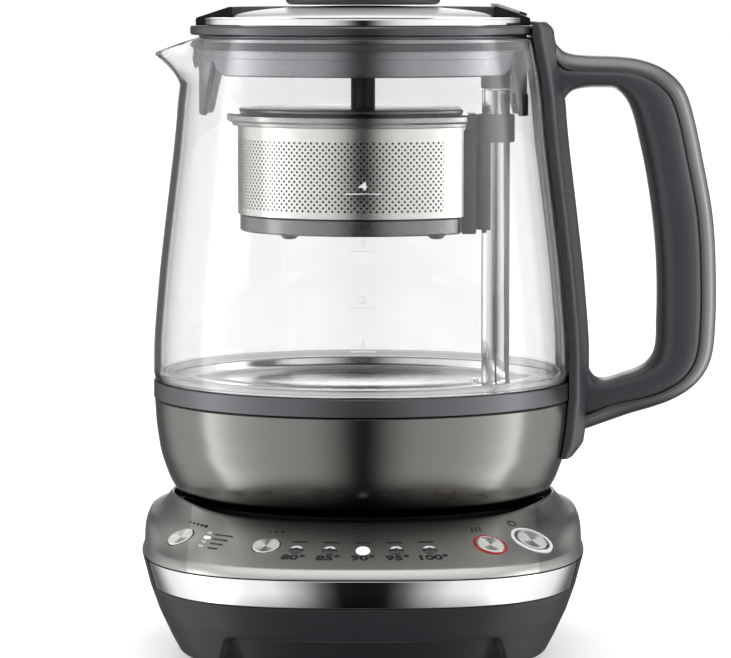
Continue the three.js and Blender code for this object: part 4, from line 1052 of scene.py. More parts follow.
@dataclass(frozen=True)
class PowerBase:
    """The base: deck, housing, front band, well and controls.

    Every size is in millimetres, and every angle in degrees.
    """

    bench: Bench
    palette: Palette
    half_width: float = 81.8
    front: float = 100.0
    back: float = 80.0
    front_power: float = 2.9
    back_power: float = 2.8
    wall: float = 2.6
    bottom: float = 1.8
    lip_bottom: float = 38.6
    lip_top: float = 41.4
    lip_round: float = 0.9
    well_radius: float = 70.5
    well_edge: float = 55.2
    crest_width: float = 1.0
    crest_rise: float = 2.8
    panel_half: float = 40.0
    panel_fade: float = 36.0
    rises: tuple[float, ...] = (0, 0.217, 0.4, 0.53, 0.62, 0.69, 0.78, 0.92, 1)
    reaches: tuple[float, ...] = (1, 0.99, 0.965, 0.91, 0.8, 0.58, 0.33, 0.1, 0)
    seat: float = 0.3
    levels: tuple[float, ...] = (0, 0.045, 0.19, 0.44, 0.69, 1)
    scales: tuple[float, ...] = (0.8, 0.842, 0.875, 0.926, 0.965, 1)
    band_height: float = 10.0
    band_thickness: float = 1.4
    band_angle: float = 56.0
    toe_height: float = 13.0
    toe_depth: float = 5.0
    toe_step: float = 0.6
    toe_angle: float = 30.0
    toe_ramp: float = 7.0
    liner: Section = Section(((70.2, 53.6), (70.2, 47), (65.4, 44.6), (15.5, 44.6), (15.5, 47), (63, 47), (67.8, 50.6),
                              (67.8, 53.6)), (0.6, 2, 2, 0.4, 0.5, 3, 3, 0.8))
    plug: Section = Section(((0, 40.3), (24, 40.3), (24, 44.3), (15.2, 44.3), (15.2, 59.5), (12.4, 59.5),
                             (12.4, 57.6), (10.6, 57.6), (10.6, 59.5), (7.6, 59.5), (7.6, 57.6), (5.8, 57.6),
                             (5.8, 59.5), (3, 59.5), (3, 60.6), (0, 60.6)),
                            (0, 0.5, 0.5, 0, 1.6, *[0.3] * 10, 0), 4, False)
    lens_radius: float = 2.4
    lens_rise: float = 0.6
    lens_depth: float = 4.0
    lamps_at: tuple[float, float] = (7.72, 0.435)
    bars_at: tuple[float, float, float, float] = (-40.0, 0.365, -0.6, 0.085)
    bar_size: tuple[float, float] = (1.9, 1.1)
    print_low: float = 0.01
    print_high: float = 0.09
    dash: float = 0.6

    def outline(self, angle: Array) -> Array:
        """Works out the base's plan.

        The plan is a squared oval: the sum of the two reaches, each over its half size and raised
        to a power, is 1, with a longer half and a higher power towards the front.

        Args:
            angle: Angles about the jug's axis.

        Returns:
            The plan's reach at each angle.
        """
        front = np.sin(angle) < 0
        power = np.where(front, self.front_power, self.back_power)
        depth = np.where(front, self.front, self.back)
        across = np.abs(np.cos(angle)) / self.half_width
        along = np.abs(np.sin(angle)) / depth
        return (across ** power + along ** power) ** (-1 / power)

    def flatness(self, angle: Array) -> Array:
        """Returns 1 over the sloping panel and 0 at the sides and the back."""
        return 1 - smooth_step((degrees_from(angle, FRONT) - self.panel_half) / self.panel_fade)

    def crest(self, flat: Array) -> Array:
        """Returns the height of the well's edge, which is lowest where the deck is flat."""
        return self.well_edge + self.crest_rise * (1 - flat)

    def deck(self, angle: Array, share: Array) -> tuple[Array, Array]:
        """Works out the deck: a straight slope over the panel and the shoulder's curve elsewhere.

        Args:
            angle: Angles about the jug's axis.
            share: Shares of the way from the lip to the well.

        Returns:
            Radius and height there.
        """
        flat = self.flatness(angle)
        reach = mix(smooth_table(self.reaches, share), 1 - share, flat)
        rise = mix(smooth_table(self.rises, share), share, flat)
        radius = mix(self.well_radius + self.crest_width, self.outline(angle) - self.lip_round, reach)
        return radius, mix(self.lip_top, self.crest(flat), rise)

    def deck_point(self, angle: float, share: float) -> Array:
        """Returns a point of the deck."""
        r, z = self.deck(np.array([angle]), np.array([share]))
        return round_points(r, np.array([angle]), z)[0]

    def frame_at(self, degrees: float, share: float, step: float = 0.02) -> Array:
        """Works out where a control sits, from the deck's slopes on both sides of it.

        Args:
            degrees: Angle from the front.
            share: Place up the slope.
            step: Distance to the two neighbours that a slope is read from.

        Returns:
            A 4 by 4 matrix with X along the panel and Z square out of it.
        """
        angle = FRONT + math.radians(degrees)
        along = self.deck_point(angle + step, share) - self.deck_point(angle - step, share)
        slope = self.deck_point(angle, share + step) - self.deck_point(angle, share - step)
        along /= np.linalg.norm(along)
        normal = np.cross(along, slope)
        normal /= np.linalg.norm(normal)
        matrix = np.eye(4)
        matrix[:3, 0], matrix[:3, 1], matrix[:3, 2] = along, np.cross(normal, along), normal
        matrix[:3, 3] = self.deck_point(angle, share)
        return matrix

    def cover(self) -> Surface:
        """Sweeps the deck: a rounded lip, the panel or the shoulder, the well's rim and the inside.

        Returns:
            The deck, not yet drilled.
        """
        angle = np.linspace(0, TAU, 321)[:-1]
        edge, crest = self.outline(angle), self.crest(self.flatness(angle))
        low_edge, lip_blend, first_share, rim_drop = 0.5, 0.75, 0.045, 7
        quarter = np.linspace(0, math.pi / 2, 4)
        rows = [(edge - low_edge * (1 - math.sin(t)), self.lip_bottom + low_edge * (1 - math.cos(t)))
                for t in quarter]
        first_r, first_z = self.deck(angle, np.full_like(angle, first_share))
        for t in np.linspace(0, 1, 15):
            low, middle, high = (1 - t) ** 2, 2 * t * (1 - t), t ** 2
            rows.append((low * edge + middle * (edge - lip_blend) + high * first_r,
                         low * (self.lip_bottom + low_edge) + middle * (self.lip_top - 0.6) + high * first_z))
        rows += [self.deck(angle, np.full_like(angle, share)) for share in np.linspace(0.075, 0.97, 44)]
        rows += [(self.well_radius + self.crest_width * (1 - math.sin(t)), crest - 0.8 * (1 - math.cos(t)))
                 for t in np.linspace(0, math.pi / 2, 5)[1:]]
        inside = self.well_radius + self.wall
        rows += [(self.well_radius, self.well_edge - 4), (self.well_radius, self.well_edge - rim_drop),
                 (inside, self.well_edge - rim_drop)]
        for share in (0.75, 0.5, 0.25, 0.0):
            r, z = self.deck(angle, np.full_like(angle, share))
            rows.append((np.maximum(r - self.wall, inside), z - self.wall))
        rows.append((edge - self.wall, self.lip_bottom))
        return swept(angle, rows)

    def body_scale(self, height: Array) -> Array:
        """Returns the housing's share of the plan at a height."""
        rise = (height - self.bottom) / (self.lip_bottom - self.seat - self.bottom)
        return np.interp(rise, self.levels, self.scales)

    def housing(self) -> Surface:
        """Sweeps the dark housing.

        A wall is swept round the plan and draws in towards the feet by a share of the plan. It
        is set back for the band, and steps in under a low arch at the front for the toes.

        Returns:
            The housing.
        """
        angle = np.linspace(0, TAU, 481)[:-1]
        top = self.lip_bottom - self.seat
        shelf = top - self.band_height - self.seat
        turn = degrees_from(angle, FRONT)
        band = (self.band_thickness + 0.4) * (turn < self.band_angle + 1.4)
        toe = 1 - smooth_step((turn - self.toe_angle) / self.toe_ramp)
        toe_top = mix(mix(self.bottom, top, self.levels[1]), self.bottom + self.toe_height, toe)
        step_top, recess, inner = toe_top + self.toe_step, self.toe_depth * toe, self.wall + 1
        walk: list[tuple[Any, Any]] = [(self.bottom, 0.7 + recess)]
        walk += [(mix(self.bottom, toe_top, share), recess) for share in np.linspace(0.04, 1, 8)]
        walk += [(toe_top + self.toe_step / 2, recess * 0.45), (step_top, np.minimum(recess, 0.35))]
        walk += [(mix(step_top, shelf, share), 0) for share in np.linspace(0.03, 0.98, 22)]
        walk.append((shelf, 0.25))
        walk += [(shelf + lift, band) for lift in np.linspace(0.02, self.band_height + self.seat, 9)]
        walk += [(top, inner), (20.0, inner), (18.0, inner + recess), (self.bottom, inner + recess)]
        edge = self.outline(angle)
        return swept(angle, [(edge * self.body_scale(height) - inset, height) for height, inset in walk])

    def front_band(self) -> Surface:
        """Sweeps the chrome band, a strip with rounded edges that follows the housing's wall.

        Returns:
            The band.
        """
        half = math.radians(self.band_angle)
        angle = FRONT + np.linspace(-half, half, 241)
        top = self.lip_bottom - self.seat
        low, back = top - self.band_height, -self.band_thickness
        section = rounded([(0, low), (0, top), (back, top), (back, low)], [0.35, 0.35, 0, 0], 3)
        offsets = np.vstack([section[:4], [(0, top - self.band_height / 2)], section[4:]])
        radius = self.outline(angle)[:, None] * self.body_scale(offsets[:, 1])[None] + offsets[:, 0]
        return loft(round_points(radius, angle[:, None], offsets[:, 1]))

    def button(self, control: Control) -> Surface:
        """Turns a button: a gently dished cap, a flange under the deck and a stem.

        Args:
            control: The button.

        Returns:
            The button in its place.
        """
        r, flange = control.radius, control.radius + 1.35 + (2.0 if control.ringed else 0)
        cap = Section(((0, -9.4), (1.8, -9.4), (1.8, -6.2), (flange, -6.2), (flange, -5.2), (r, -5.2), (r, 0.45),
                       (r - 1.0, 0.45), (0, 0.1)), (0, 0.3, 0, 0.2, 0.2, 0, 0.4, 1.0, 0), 5, False)
        return cap.turned(96).moved(self.frame_at(*control.place))

    def ring(self, control: Control, low: float, high: float) -> Surface:
        """Turns a ring with a rounded top round a button.

        Args:
            control: The button.
            low: Where the ring starts, in millimetres out from the button.
            high: Where it ends.

        Returns:
            The ring in its place.
        """
        inner, outer = control.radius + low, control.radius + high
        box = Section(((outer, -4.0), (outer, 0.35), (inner, 0.35), (inner, -4.0)), (0.1, 0.2, 0.2, 0.1), 4)
        return box.turned(96).moved(self.frame_at(*control.place))

    def face(self, first: float, last: float, count: int) -> list[tuple[float, float]]:
        """Works out a lamp's domed face, a quarter of an oval."""
        t = np.linspace(first, last, count) * math.pi / 2
        return [(self.lens_radius * math.cos(a), self.lens_rise * math.sin(a)) for a in t]

    def lens(self) -> Surface:
        """Returns a round lens with a domed face, about its own axis."""
        rim = [(0, -self.lens_depth), (self.lens_radius, -self.lens_depth), *self.face(0, 1, 8)[:-1]]
        return turned([*rim, (0, self.lens_rise)], 40)

    def arc(self) -> Surface:
        """Turns the white arc of painted highlight on the upper side of an unlit lamp, which follows its face.

        Returns:
            The arc.
        """
        face = self.face(0.12, 0.78, 7)
        section = [(r - 0.02, z - 0.25) for r, z in face] + [(r + 0.03, z + 0.05) for r, z in reversed(face)]
        return turned(section, 32, math.radians(18), math.radians(144))

    def bar(self, length: float, width: float, bottom: float, top: float) -> Surface:
        """Raises a bar with round ends.

        Args:
            length: Distance between the centres of its ends.
            width: Its width.
            bottom: Height of its lower face.
            top: Height of its upper face.

        Returns:
            The bar, about its own centre.
        """
        t = np.linspace(-math.pi / 2, math.pi / 2, 13)
        x = length / 2 + width / 2 * np.cos(t)
        y = width / 2 * np.sin(t)
        outline = np.column_stack([np.concatenate([x, -x]), np.concatenate([y, -y])])
        return prism(outline, edge_profile(bottom, top, 0.15, 3))

    def mark(self, length: float, width: float) -> Surface:
        """Returns a printed bar, about its own centre."""
        return self.bar(length, width, self.print_low, self.print_high)

    def on_panel(self, shape: Surface, degrees: float, share: float, step: float = 0.05) -> Surface:
        """Wraps a flat form on to the panel.

        A step to the side becomes a turn about the jug's axis and a step up becomes a share of the
        slope; the height stays square to the panel.

        Args:
            shape: The form, flat and about its own centre.
            degrees: Angle from the front.
            share: Place up the slope.
            step: Shares to both sides between which the slope's length is read.

        Returns:
            The form on the panel.
        """
        origin = FRONT + math.radians(degrees)
        foot = self.deck_point(origin, share)
        slope = np.linalg.norm(self.deck_point(origin, share + step) - self.deck_point(origin, share - step)) / step / 2
        angle = origin + shape.points[:, 0] / math.hypot(foot[0], foot[1])
        r, z = self.deck(angle, share + shape.points[:, 1] / slope)
        normal = self.frame_at(degrees, share)[:3, 2]
        return Surface(round_points(r, angle, z) + shape.points[:, 2:3] * normal, shape.faces)

    def dots(self, count: int, pitch: float, radius: float) -> Surface:
        """Sets dots in a row, each larger than the one to its left.

        Args:
            count: Number of dots.
            pitch: Distance from dot to dot.
            radius: Width of the first.

        Returns:
            The row, about its own centre.
        """
        row = [self.mark(0.01, radius * (1 + 0.3 * i)).shifted((i - (count - 1) / 2) * pitch, 0, 0)
               for i in range(count)]
        return row[0].plus(*row[1:])

    def waves(self) -> Surface:
        """Draws three upright waves, each a strip along a sine curve.

        Returns:
            The waves, about their own centre.
        """
        t = np.linspace(-1, 1, 25)
        strips = []
        for place in (-1.7, 0.0, 1.7):
            x, y = place + 0.42 * np.sin(t * math.pi), 1.5 * t
            ring = np.vstack([np.column_stack([x - 0.28, y]), np.column_stack([x + 0.28, y])[::-1]])
            strips.append(slab(ring, self.print_low, self.print_high))
        return strips[0].plus(*strips[1:])

    def power_sign(self) -> Surface:
        """Draws the usual on and off sign: an open ring with an upright bar.

        Returns:
            The sign, about its own centre.
        """
        low, high = self.print_low, self.print_high
        ring = turned([(1.35, low), (1.85, low), (1.85, high), (1.35, high)], 40, math.radians(125),
                      math.radians(290))
        stroke = np.array([(-0.25, 0.9), (0.25, 0.9), (0.25, 2.1), (-0.25, 2.1)])
        return ring.plus(self.mark(0.01, 0.5).shifted(0, 0.9, 0), slab(stroke, low, high))

    def lamp_place(self, i: int) -> tuple[float, float]:
        """Returns angle and share of one of the five temperature lamps."""
        return self.lamps_at[0] * (i - 2), self.lamps_at[1]

    def bar_place(self, i: int) -> tuple[float, float]:
        """Returns angle and share of one of the four strength lamps."""
        return self.bars_at[0] + self.bars_at[2] * i, self.bars_at[1] + self.bars_at[3] * i

    def openings(self) -> list[Surface]:
        """Makes the solids that drill the deck for the controls.

        Returns:
            The solids.
        """
        low, high = -9, 4
        rounds = [(control.radius + control.margin, 64, control.place) for control in CONTROLS]
        rounds += [(self.lens_radius + 0.2, 40, self.lamp_place(i)) for i in range(5)]
        holes = [turned([(0, low), (reach, low), (reach, high), (0, high)], sides).moved(self.frame_at(*place))
                 for reach, sides, place in rounds]
        length, width = self.bar_size
        return holes + [self.bar(length, width + 0.6, low, high).moved(self.frame_at(*self.bar_place(i)))
                        for i in range(4)]

    def lamps(self) -> None:
        """Makes the lenses of the lamps; an unlit one is dark, with a white arc of painted highlight on its upper side.
        """
        p, bench, lit, slot = self.palette, self.bench, 2, "white_lens"
        for i in range(5):
            frame = self.frame_at(*self.lamp_place(i))
            bench.piece(f"temperature_lens_{i + 1}", self.lens().moved(frame), p.lit if i == lit else p.smoked,
                        Body.BASE, ["temperature_light_guide"] if i == 0 else (), slot)
            # Painted highlight: a white arc over the upper side of each unlit lens, where it faces the light above.
            if i != lit:
                bench.piece(f"temperature_arc_{i + 1}", self.arc().moved(frame), p.print_white, Body.BASE, (), slot,
                            FINE_CREASE)
        for i in range(4):
            shape = self.bar(*self.bar_size, -self.lens_depth, 0.3).moved(self.frame_at(*self.bar_place(i)))
            bench.piece(f"strength_lens_{i + 1}", shape, p.lit if i == lit else p.lens, Body.BASE,
                        ["strength_light_guide"] if i == 0 else (), slot)

    def label(self, name: str, shape: Surface, degrees: float, share: float) -> None:
        """Lays a flat print on the panel."""
        self.bench.piece(name, self.on_panel(shape, degrees, share), self.palette.print_dark, Body.BASE,
                         (), "black_plastic", PRINT_CREASE)

    def signs(self) -> None:
        """Prints the numbers under the lamps, the dashes, and plain signs beside the buttons."""
        for i in range(5):
            degrees, share = self.lamp_place(i)
            self.label(f"temperature_number_{i + 1}", text_form(f"{80 + 5 * i}°", 4.1, 1.5), degrees, share - 0.15)
            self.label(f"temperature_dash_{i + 1}", self.mark(5.0, self.dash), degrees, share + 0.155)
        for i in range(4):
            degrees, share = self.bar_place(i)
            self.label(f"strength_dash_{i + 1}", self.mark(4.4 + 1.2 * i, self.dash), degrees + 3.9 + 0.4 * i,
                       share - 0.012)
        marks = ((self.dots(5, 2.4, 0.72), 0.0, 0.29), (self.dots(3, 2.6, 0.85), 0.0, 0.275),
                 (self.waves(), 0.0, 0.31), (self.power_sign(), 0.3, 0.37))
        for control, (shape, aside, up) in zip(CONTROLS, marks):
            self.label(f"{control.name}_sign", shape, control.degrees + aside, control.share + up)

    def build(self) -> None:
        """Makes every piece of the base."""
        p, bench, body = self.palette, self.bench, Body.BASE
        warm, start = CONTROLS[2:]
        deck = bench.piece("deck_metal_cover", self.cover(), p.deck, body, ["deck_cover"], "satin_metal")
        bench.carve(deck, self.openings())
        bench.piece("housing_shell", self.housing(), p.housing, body, ["lower_housing"], "dark_plastic")
        bench.piece("front_chrome_band", self.front_band(), p.chrome, body, ["front_band"], "bright_chrome")
        bench.piece("well_black_liner", self.liner.turned(), p.black, body, ["well_liner"], "black_plastic")
        bench.piece("connector_plug", self.plug.turned(96), p.black, body, ["power_connector"], "black_plastic")
        for i, control in enumerate(CONTROLS):
            middle = (self.frame_at(*control.place)[:3, 3] + bench.axis) * MM
            bench.piece(f"{control.name}_button_cap", self.button(control), p.spun(f"spun_button_{i + 1}", middle),
                        control.body, [f"{control.name}_button"], "button_metal")
        bench.piece("warm_red_ring", self.ring(warm, 0.6, 1.35), p.red, body, ["warm_light_ring"], "red_lens")
        bench.piece("warm_inner_ring", self.ring(warm, 0.2, 0.55), p.pole, body, (), "button_metal")
        bench.piece("start_white_ring", self.ring(start, 1.25, 2.35), p.ring, body, ["start_light_ring"],
                    "white_lens")
        bench.piece("start_inner_ring", self.ring(start, 0.25, 1.2), p.pole, body, (), "button_metal")
        self.lamps()
        self.signs()
        bench.dress(p.black, "bottom_plate", "switch_carrier", *[f"{c.name}_switch" for c in CONTROLS])
        bench.dress(p.rubber, "foot_1", "foot_2", "foot_3", "foot_4", "cord_gland")
        bench.dress(p.board, "control_board")


def text_form(text: str, height: float, stretch: float = 1.0, thickness: float = 0.08) -> Surface:
    """Makes thin raised characters.

    Args:
        text: The characters.
        height: The font's size in millimetres.
        stretch: How far they are widened.
        thickness: How far they stand up.

    Returns:
        The characters about their own centre, lying in the XY plane.
    """
    curve = bpy.data.curves.new("characters", "FONT")
    curve.body, curve.size, curve.extrude, curve.resolution_u = text, height, thickness / 2, 4
    curve.align_x, curve.align_y, curve.offset = "CENTER", "CENTER", height * 0.035
    holder = bpy.data.objects.new("characters", curve)
    bpy.context.scene.collection.objects.link(holder)
    graph = bpy.context.evaluated_depsgraph_get()
    mesh = bpy.data.meshes.new_from_object(holder.evaluated_get(graph))
    points = np.zeros(len(mesh.vertices) * 3)
    mesh.vertices.foreach_get("co", points)
    points = points.reshape(-1, 3) * np.array([stretch, 1, 1]) + np.array([0, 0, thickness / 2 + 0.02])
    corner = np.zeros(len(mesh.loops), np.int64)
    start, total = np.zeros(len(mesh.polygons), np.int64), np.zeros(len(mesh.polygons), np.int64)
    mesh.loops.foreach_get("vertex_index", corner)
    mesh.polygons.foreach_get("loop_start", start)
    mesh.polygons.foreach_get("loop_total", total)
    faces = [corner[start[total == n][:, None] + np.arange(n)] for n in np.unique(total)]
    bpy.data.objects.remove(holder)
    bpy.data.curves.remove(curve)
    bpy.data.meshes.remove(mesh)
    return welded(Surface(points, faces))


# Jug


@dataclass(frozen=True)
class Jug:
    """The glass jug with its foot, pole and handle.

    Every size is in millimetres, and every angle in degrees.
    """

    bench: Bench
    palette: Palette
    glass_radius: float = 78.0
    glass_wall: float = 2.5
    glass_bottom: float = 100.3
    glass_top: float = 227.0
    rim_radius: float = 64.5
    levels: tuple[float, ...] = (0, 0.12, 0.19, 0.3, 0.5, 0.7, 0.86, 1)
    scales: tuple[float, ...] = (1, 1, 0.988, 0.974, 0.936, 0.896, 0.874, 0.827)
    spout_reach: float = 13.5
    spout_angle: float = 24.0
    spout_dip: float = 6.0
    spout_root: float = 209.0
    spout_lean: float = 1.4
    shell_bottom: float = 56.2
    shell_top: float = 93.0
    shell_radius: float = 77.7
    shell_foot: float = 67.5
    shell_levels: tuple[float, ...] = (0, 0.076, 0.158, 0.28, 0.457, 0.73, 1)
    shell_scales: tuple[float, ...] = (0, 0.2, 0.395, 0.575, 0.785, 0.936, 1)
    smoked: Section = Section(((78, 93.3), (78, 100), (75.2, 100), (75.2, 98.6), (73.9, 98.6), (73.9, 93.3)),
                              (0.5, 0.9, 0.5, 0.3, 0.3, 0.3))
    dish: Section = Section(((0, 95.9), (50, 95.9), (66, 96.1), (72.5, 96.8), (73.0, 100.4), (74.6, 100.7),
                             (74.6, 99.3), (73.7, 99.0), (73.6, 95.6), (70, 94.7), (0, 94.4)),
                            (0, 8, 8, 2.4, 0.3, 0.2, 0.2, 0.3, 1, 2, 0), 8, False)
    seal_width: float = 2.2
    pole_x: float = 49.3
    pole_half: tuple[float, float] = (5.2, 4.6)
    pole_power: float = 2.4
    pole_wall: float = 0.9
    pole_bottom: float = 96.3
    pole_top: float = 207.2
    cap_ends: tuple[float, float] = (207.5, 214.5)
    probe_form: Section = Section(((0, 96.2), (4, 96.2), (4, 97.4), (1.4, 97.6), (1.4, 101.2), (0, 101.2)),
                                  (0, 0.2, 0.4, 0.5, 0.6, 0), 4, False)
    probe_at: tuple[float, float] = (41.0, -17.0)
    marks_at: tuple[tuple[int, float, float], ...] = ((4, 174.9, 13.0), (3, 154.8, 9.0), (2, 134.9, 9.0),
                                                      (1, 119.5, 9.0))
    bracket_bottom: float = 71.4
    bracket_top: float = 232.3
    bracket_depth: float = 6.6
    bracket_half: float = 19.0
    bracket_section: Pairs = ((1, 0.34), (0.92, 0.5), (0.5, 0.9), (0, 1))
    bracket_rounding: tuple[float, ...] = (0.2, 0.7, 0.7, 5, 8, 5, 0.7, 0.7, 0.2)
    handle_root: float = 74.0
    handle_reach: float = 131.34
    handle_bottom: float = 81.6
    handle_top: float = 220.6
    inner: Pairs = (
        (-0.05, 0.83), (0.0, 0.872), (0.06, 0.902), (0.243, 0.91), (0.347, 0.905), (0.424, 0.873), (0.465, 0.83),
        (0.493, 0.783), (0.538, 0.701), (0.59, 0.564), (0.618, 0.42), (0.618, 0.276), (0.601, 0.199),
        (0.53, 0.165), (0.399, 0.144), (0.278, 0.13), (0.225, 0.134), (0.185, 0.155), (0.14, 0.19))
    outer: Pairs = (
        (-0.05, 1.03), (0.0, 1.008), (0.06, 0.999), (0.243, 0.994), (0.451, 0.988), (0.642, 0.962), (0.773, 0.914),
        (0.844, 0.84), (0.908, 0.721), (0.976, 0.571), (1, 0.42), (0.997, 0.262), (0.965, 0.174),
        (0.868, 0.114), (0.694, 0.069), (0.451, 0.037), (0.25, 0.008), (0.168, -0.004), (0.1, -0.012))
    trim: float = 6.0
    grip_power: float = 3.2
    grip_half: tuple[float, float] = (11.0, 13.0)
    trim_power: float = 2.6
    trim_half: tuple[float, float] = (10.0, 10.4)

    def glass_at(self, height: Array) -> Array:
        """Returns the glass's outer radius at a height."""
        rise = (np.asarray(height, float) - self.glass_bottom) / (self.glass_top - self.glass_bottom)
        return self.glass_radius * soft_table(self.levels, self.scales, rise, 65, 4, 8)

    def shell_at(self, height: Array) -> Array:
        """Reads the steel shell's outer radius from its table of shares.

        Args:
            height: Where it is read, as one number or as an array.

        Returns:
            The radius there.
        """
        rise = (np.asarray(height, float) - self.shell_bottom) / (self.shell_top - self.shell_bottom)
        scale = soft_table(self.shell_levels, self.shell_scales, rise, 49, 3, 10)
        return mix(self.shell_foot, self.shell_radius, scale)

    def glass(self) -> Surface:
        """Sweeps the glass wall: the table's radii, pulled out into a spout and rounded at the rim.

        Above the spout's root the radius grows by the spout's reach, times the squared cosine
        over its angle, times a power of the share of the height that is left.

        Returns:
            The glass.
        """
        angle = np.linspace(0, TAU, 257)[:-1]
        turn = degrees_from(angle, math.pi) / self.spout_angle
        pull = np.where(turn < 1, np.cos(np.clip(turn, 0, 1) * math.pi / 2) ** 2, 0)[:, None]
        half, low_edge = self.glass_wall / 2, 0.5
        levels = np.concatenate([np.linspace(self.glass_bottom, self.spout_root, 44)[:-1],
                                 np.linspace(self.spout_root, self.glass_top - half, 22)])
        t = np.linspace(0, math.pi, 9)[1:-1]
        z = np.concatenate([levels, np.full(7, levels[-1]), levels[::-1]])
        inset = np.concatenate([[low_edge], np.zeros(64), half * (1 - np.cos(t)), np.full(64, self.glass_wall),
                                [self.glass_wall - low_edge]])
        lift = np.concatenate([np.zeros(65), half * np.sin(t), np.zeros(65)])
        lean = np.maximum(z - self.spout_root, 0) / (self.glass_top - self.spout_root)
        base = np.maximum(self.glass_at(z), self.rim_radius)
        radius = base - inset + pull * self.spout_reach * lean ** self.spout_lean
        return loft(round_points(radius, angle[:, None], z + lift - pull * self.spout_dip * lean), looped=True)

    def shell(self) -> Surface:
        """Turns the steel foot, a thin shell with a small turn-in at its top and bottom.

        Returns:
            The foot.
        """
        z = np.linspace(self.shell_bottom + 0.4, self.shell_top - 0.5, 36)
        down = np.linspace(self.shell_top, self.shell_bottom, 10)
        return turned(np.vstack([[(self.shell_foot - 0.5, self.shell_bottom)], np.column_stack([self.shell_at(z), z]),
                                 [(self.shell_radius - 0.45, self.shell_top)],
                                 np.column_stack([self.shell_at(down) - 1.2, down])]), 256)

    def seal(self) -> Surface:
        """Turns the clear ring between the floor and the glass, in the box of its CAD node.

        Returns:
            The ring.
        """
        low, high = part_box("glass_seal")
        outer, bottom, top = (high.x - low.x) / 2 / MM, low.z / MM, high.z / MM
        inner = outer - self.seal_width
        return Section(((outer, bottom), (outer, top), (inner, top), (inner, bottom)), 0.5).turned(240)

    def oval(self, swell: float, first: float = 0.0, last: float = TAU * 95 / 96) -> Array:
        """Works out an upright oval about the pole's axis, or a stretch of it.

        The sum of x over its half size and y over its half size, each to the pole's power, is 1.

        Args:
            swell: How far it stands out from the pole.
            first: Angle of the first point.
            last: Angle of the last point.

        Returns:
            The points of the outline.
        """
        x, y = powered(np.linspace(first, last, 96), self.pole_power)
        half_x, half_y = self.pole_half
        return np.column_stack([self.pole_x + (half_x + swell) * x, (half_y + swell) * y])

    def pole(self) -> Surface:
        """Returns the oval pole."""
        return tube_prism(self.oval(0.0), self.oval(-self.pole_wall), self.pole_bottom, self.pole_top, 0.2)

    def pole_strip(self, first: float, last: float) -> Surface:
        """Lays a thin dark strip on the pole."""
        ring = np.vstack([self.oval(0.12, first, last), self.oval(0.01, first, last)[::-1]])
        return slab(ring, self.pole_bottom + 0.3, self.pole_top - 0.4)

    def cap(self) -> Surface:
        """Returns the pole's cap."""
        return prism(self.oval(0.3), edge_profile(*self.cap_ends, 0.7))

    def jug_at(self, height: float) -> float:
        """Looks up the jug's outer radius, as the bracket meets it.

        Args:
            height: Where it is looked up.

        Returns:
            The shell's, the glass's or the rim's radius.
        """
        if height < self.shell_top:
            return float(self.shell_at(max(height, self.shell_bottom)))
        if height < self.glass_bottom:
            return self.glass_radius
        return max(float(self.glass_at(min(height, self.glass_top))), self.rim_radius)

    def bracket_face(self, height: float) -> float:
        """Works out the bracket's crown, which is lower at its foot and falls off at its top.

        Args:
            height: A height.

        Returns:
            How far the bracket's outer face stands from the jug's axis there.
        """
        top_share, foot_share = 0.035, 0.03
        rise = (height - self.bracket_bottom) / (self.bracket_top - self.bracket_bottom)
        top = max(rise - (1 - top_share), 0) / top_share
        depth = self.bracket_depth
        return self.jug_at(height) + mix(depth * 0.55, depth * (1 - 0.5 * top ** 3), min(rise / foot_share, 1))

    def bracket(self) -> Surface:
        """Lofts the long bracket, a crowned bar whose back follows the jug.

        Returns:
            The bracket.
        """
        foot, head = self.bracket_bottom + 5, self.bracket_top - 9
        heights = np.concatenate([np.linspace(self.bracket_bottom, foot, 6)[:-1], np.linspace(foot, head, 60)[:-1],
                                  np.linspace(head, self.bracket_top, 14)])
        wide = self.bracket_half
        y = np.linspace(wide, -wide, 15)[1:-1]
        sections = []
        for z in heights:
            inner = self.jug_at(z) + 0.3
            face, edge = self.bracket_face(z), math.sqrt(inner ** 2 - wide ** 2)
            half = [(mix(edge, face, out), wide * across) for across, out in self.bracket_section]
            corners = [(edge, -wide), *[(x, -side) for x, side in half], *reversed(half[:-1]), (edge, wide)]
            back = np.column_stack([np.sqrt(inner ** 2 - y ** 2), y])
            sections.append(levelled(np.vstack([rounded(corners, self.bracket_rounding, 4), back]), z))
        return loft(np.array(sections))

    def wrapped(self, shape: Surface, height: float) -> Surface:
        """Wraps a flat print round the front of the glass.

        A step to the side becomes a turn about the jug's axis, a step up stays a step up, and
        the thickness stands out from the glass.

        Args:
            shape: The print, flat and about its own centre.
            height: The height of its centre.

        Returns:
            The print on the glass.
        """
        z = height + shape.points[:, 1]
        table = np.linspace(95, 228, 200)
        reach = np.interp(z, table, self.glass_at(table))
        angle = FRONT + shape.points[:, 0] / reach
        return Surface(round_points(reach + 0.02 + shape.points[:, 2], angle, z), shape.faces)

    def marks(self) -> Surface:
        """Prints the level marks: plain numbers, each over a short line.

        Returns:
            All the marks.
        """
        parts = []
        for number, height, width in self.marks_at:
            parts.append(self.wrapped(text_form(str(number), 3.7, 1.6, 0.05), height))
            line = np.column_stack([np.linspace(-width / 2, width / 2, 25), np.full(25, 0.2)])
            parts.append(self.wrapped(slab(np.vstack([line, line[::-1] * [1, -1]]), 0.02, 0.07), height - 2.6))
        return parts[0].plus(*parts[1:])

    def curves(self, count: int = 161) -> tuple[Array, Array, Array]:
        """Works out the handle's side view.

        Args:
            count: Points along each curve.

        Returns:
            The inner curve, the outer curve, and the steps from one to the other.
        """
        inner, outer = (catmull(np.column_stack([
            mix(self.handle_root, self.handle_reach, shares[:, 0]), 0 * shares[:, 0],
            mix(self.handle_bottom, self.handle_top, shares[:, 1])]), count)
            for shares in (np.array(self.inner), np.array(self.outer)))
        return inner, outer, outer - inner

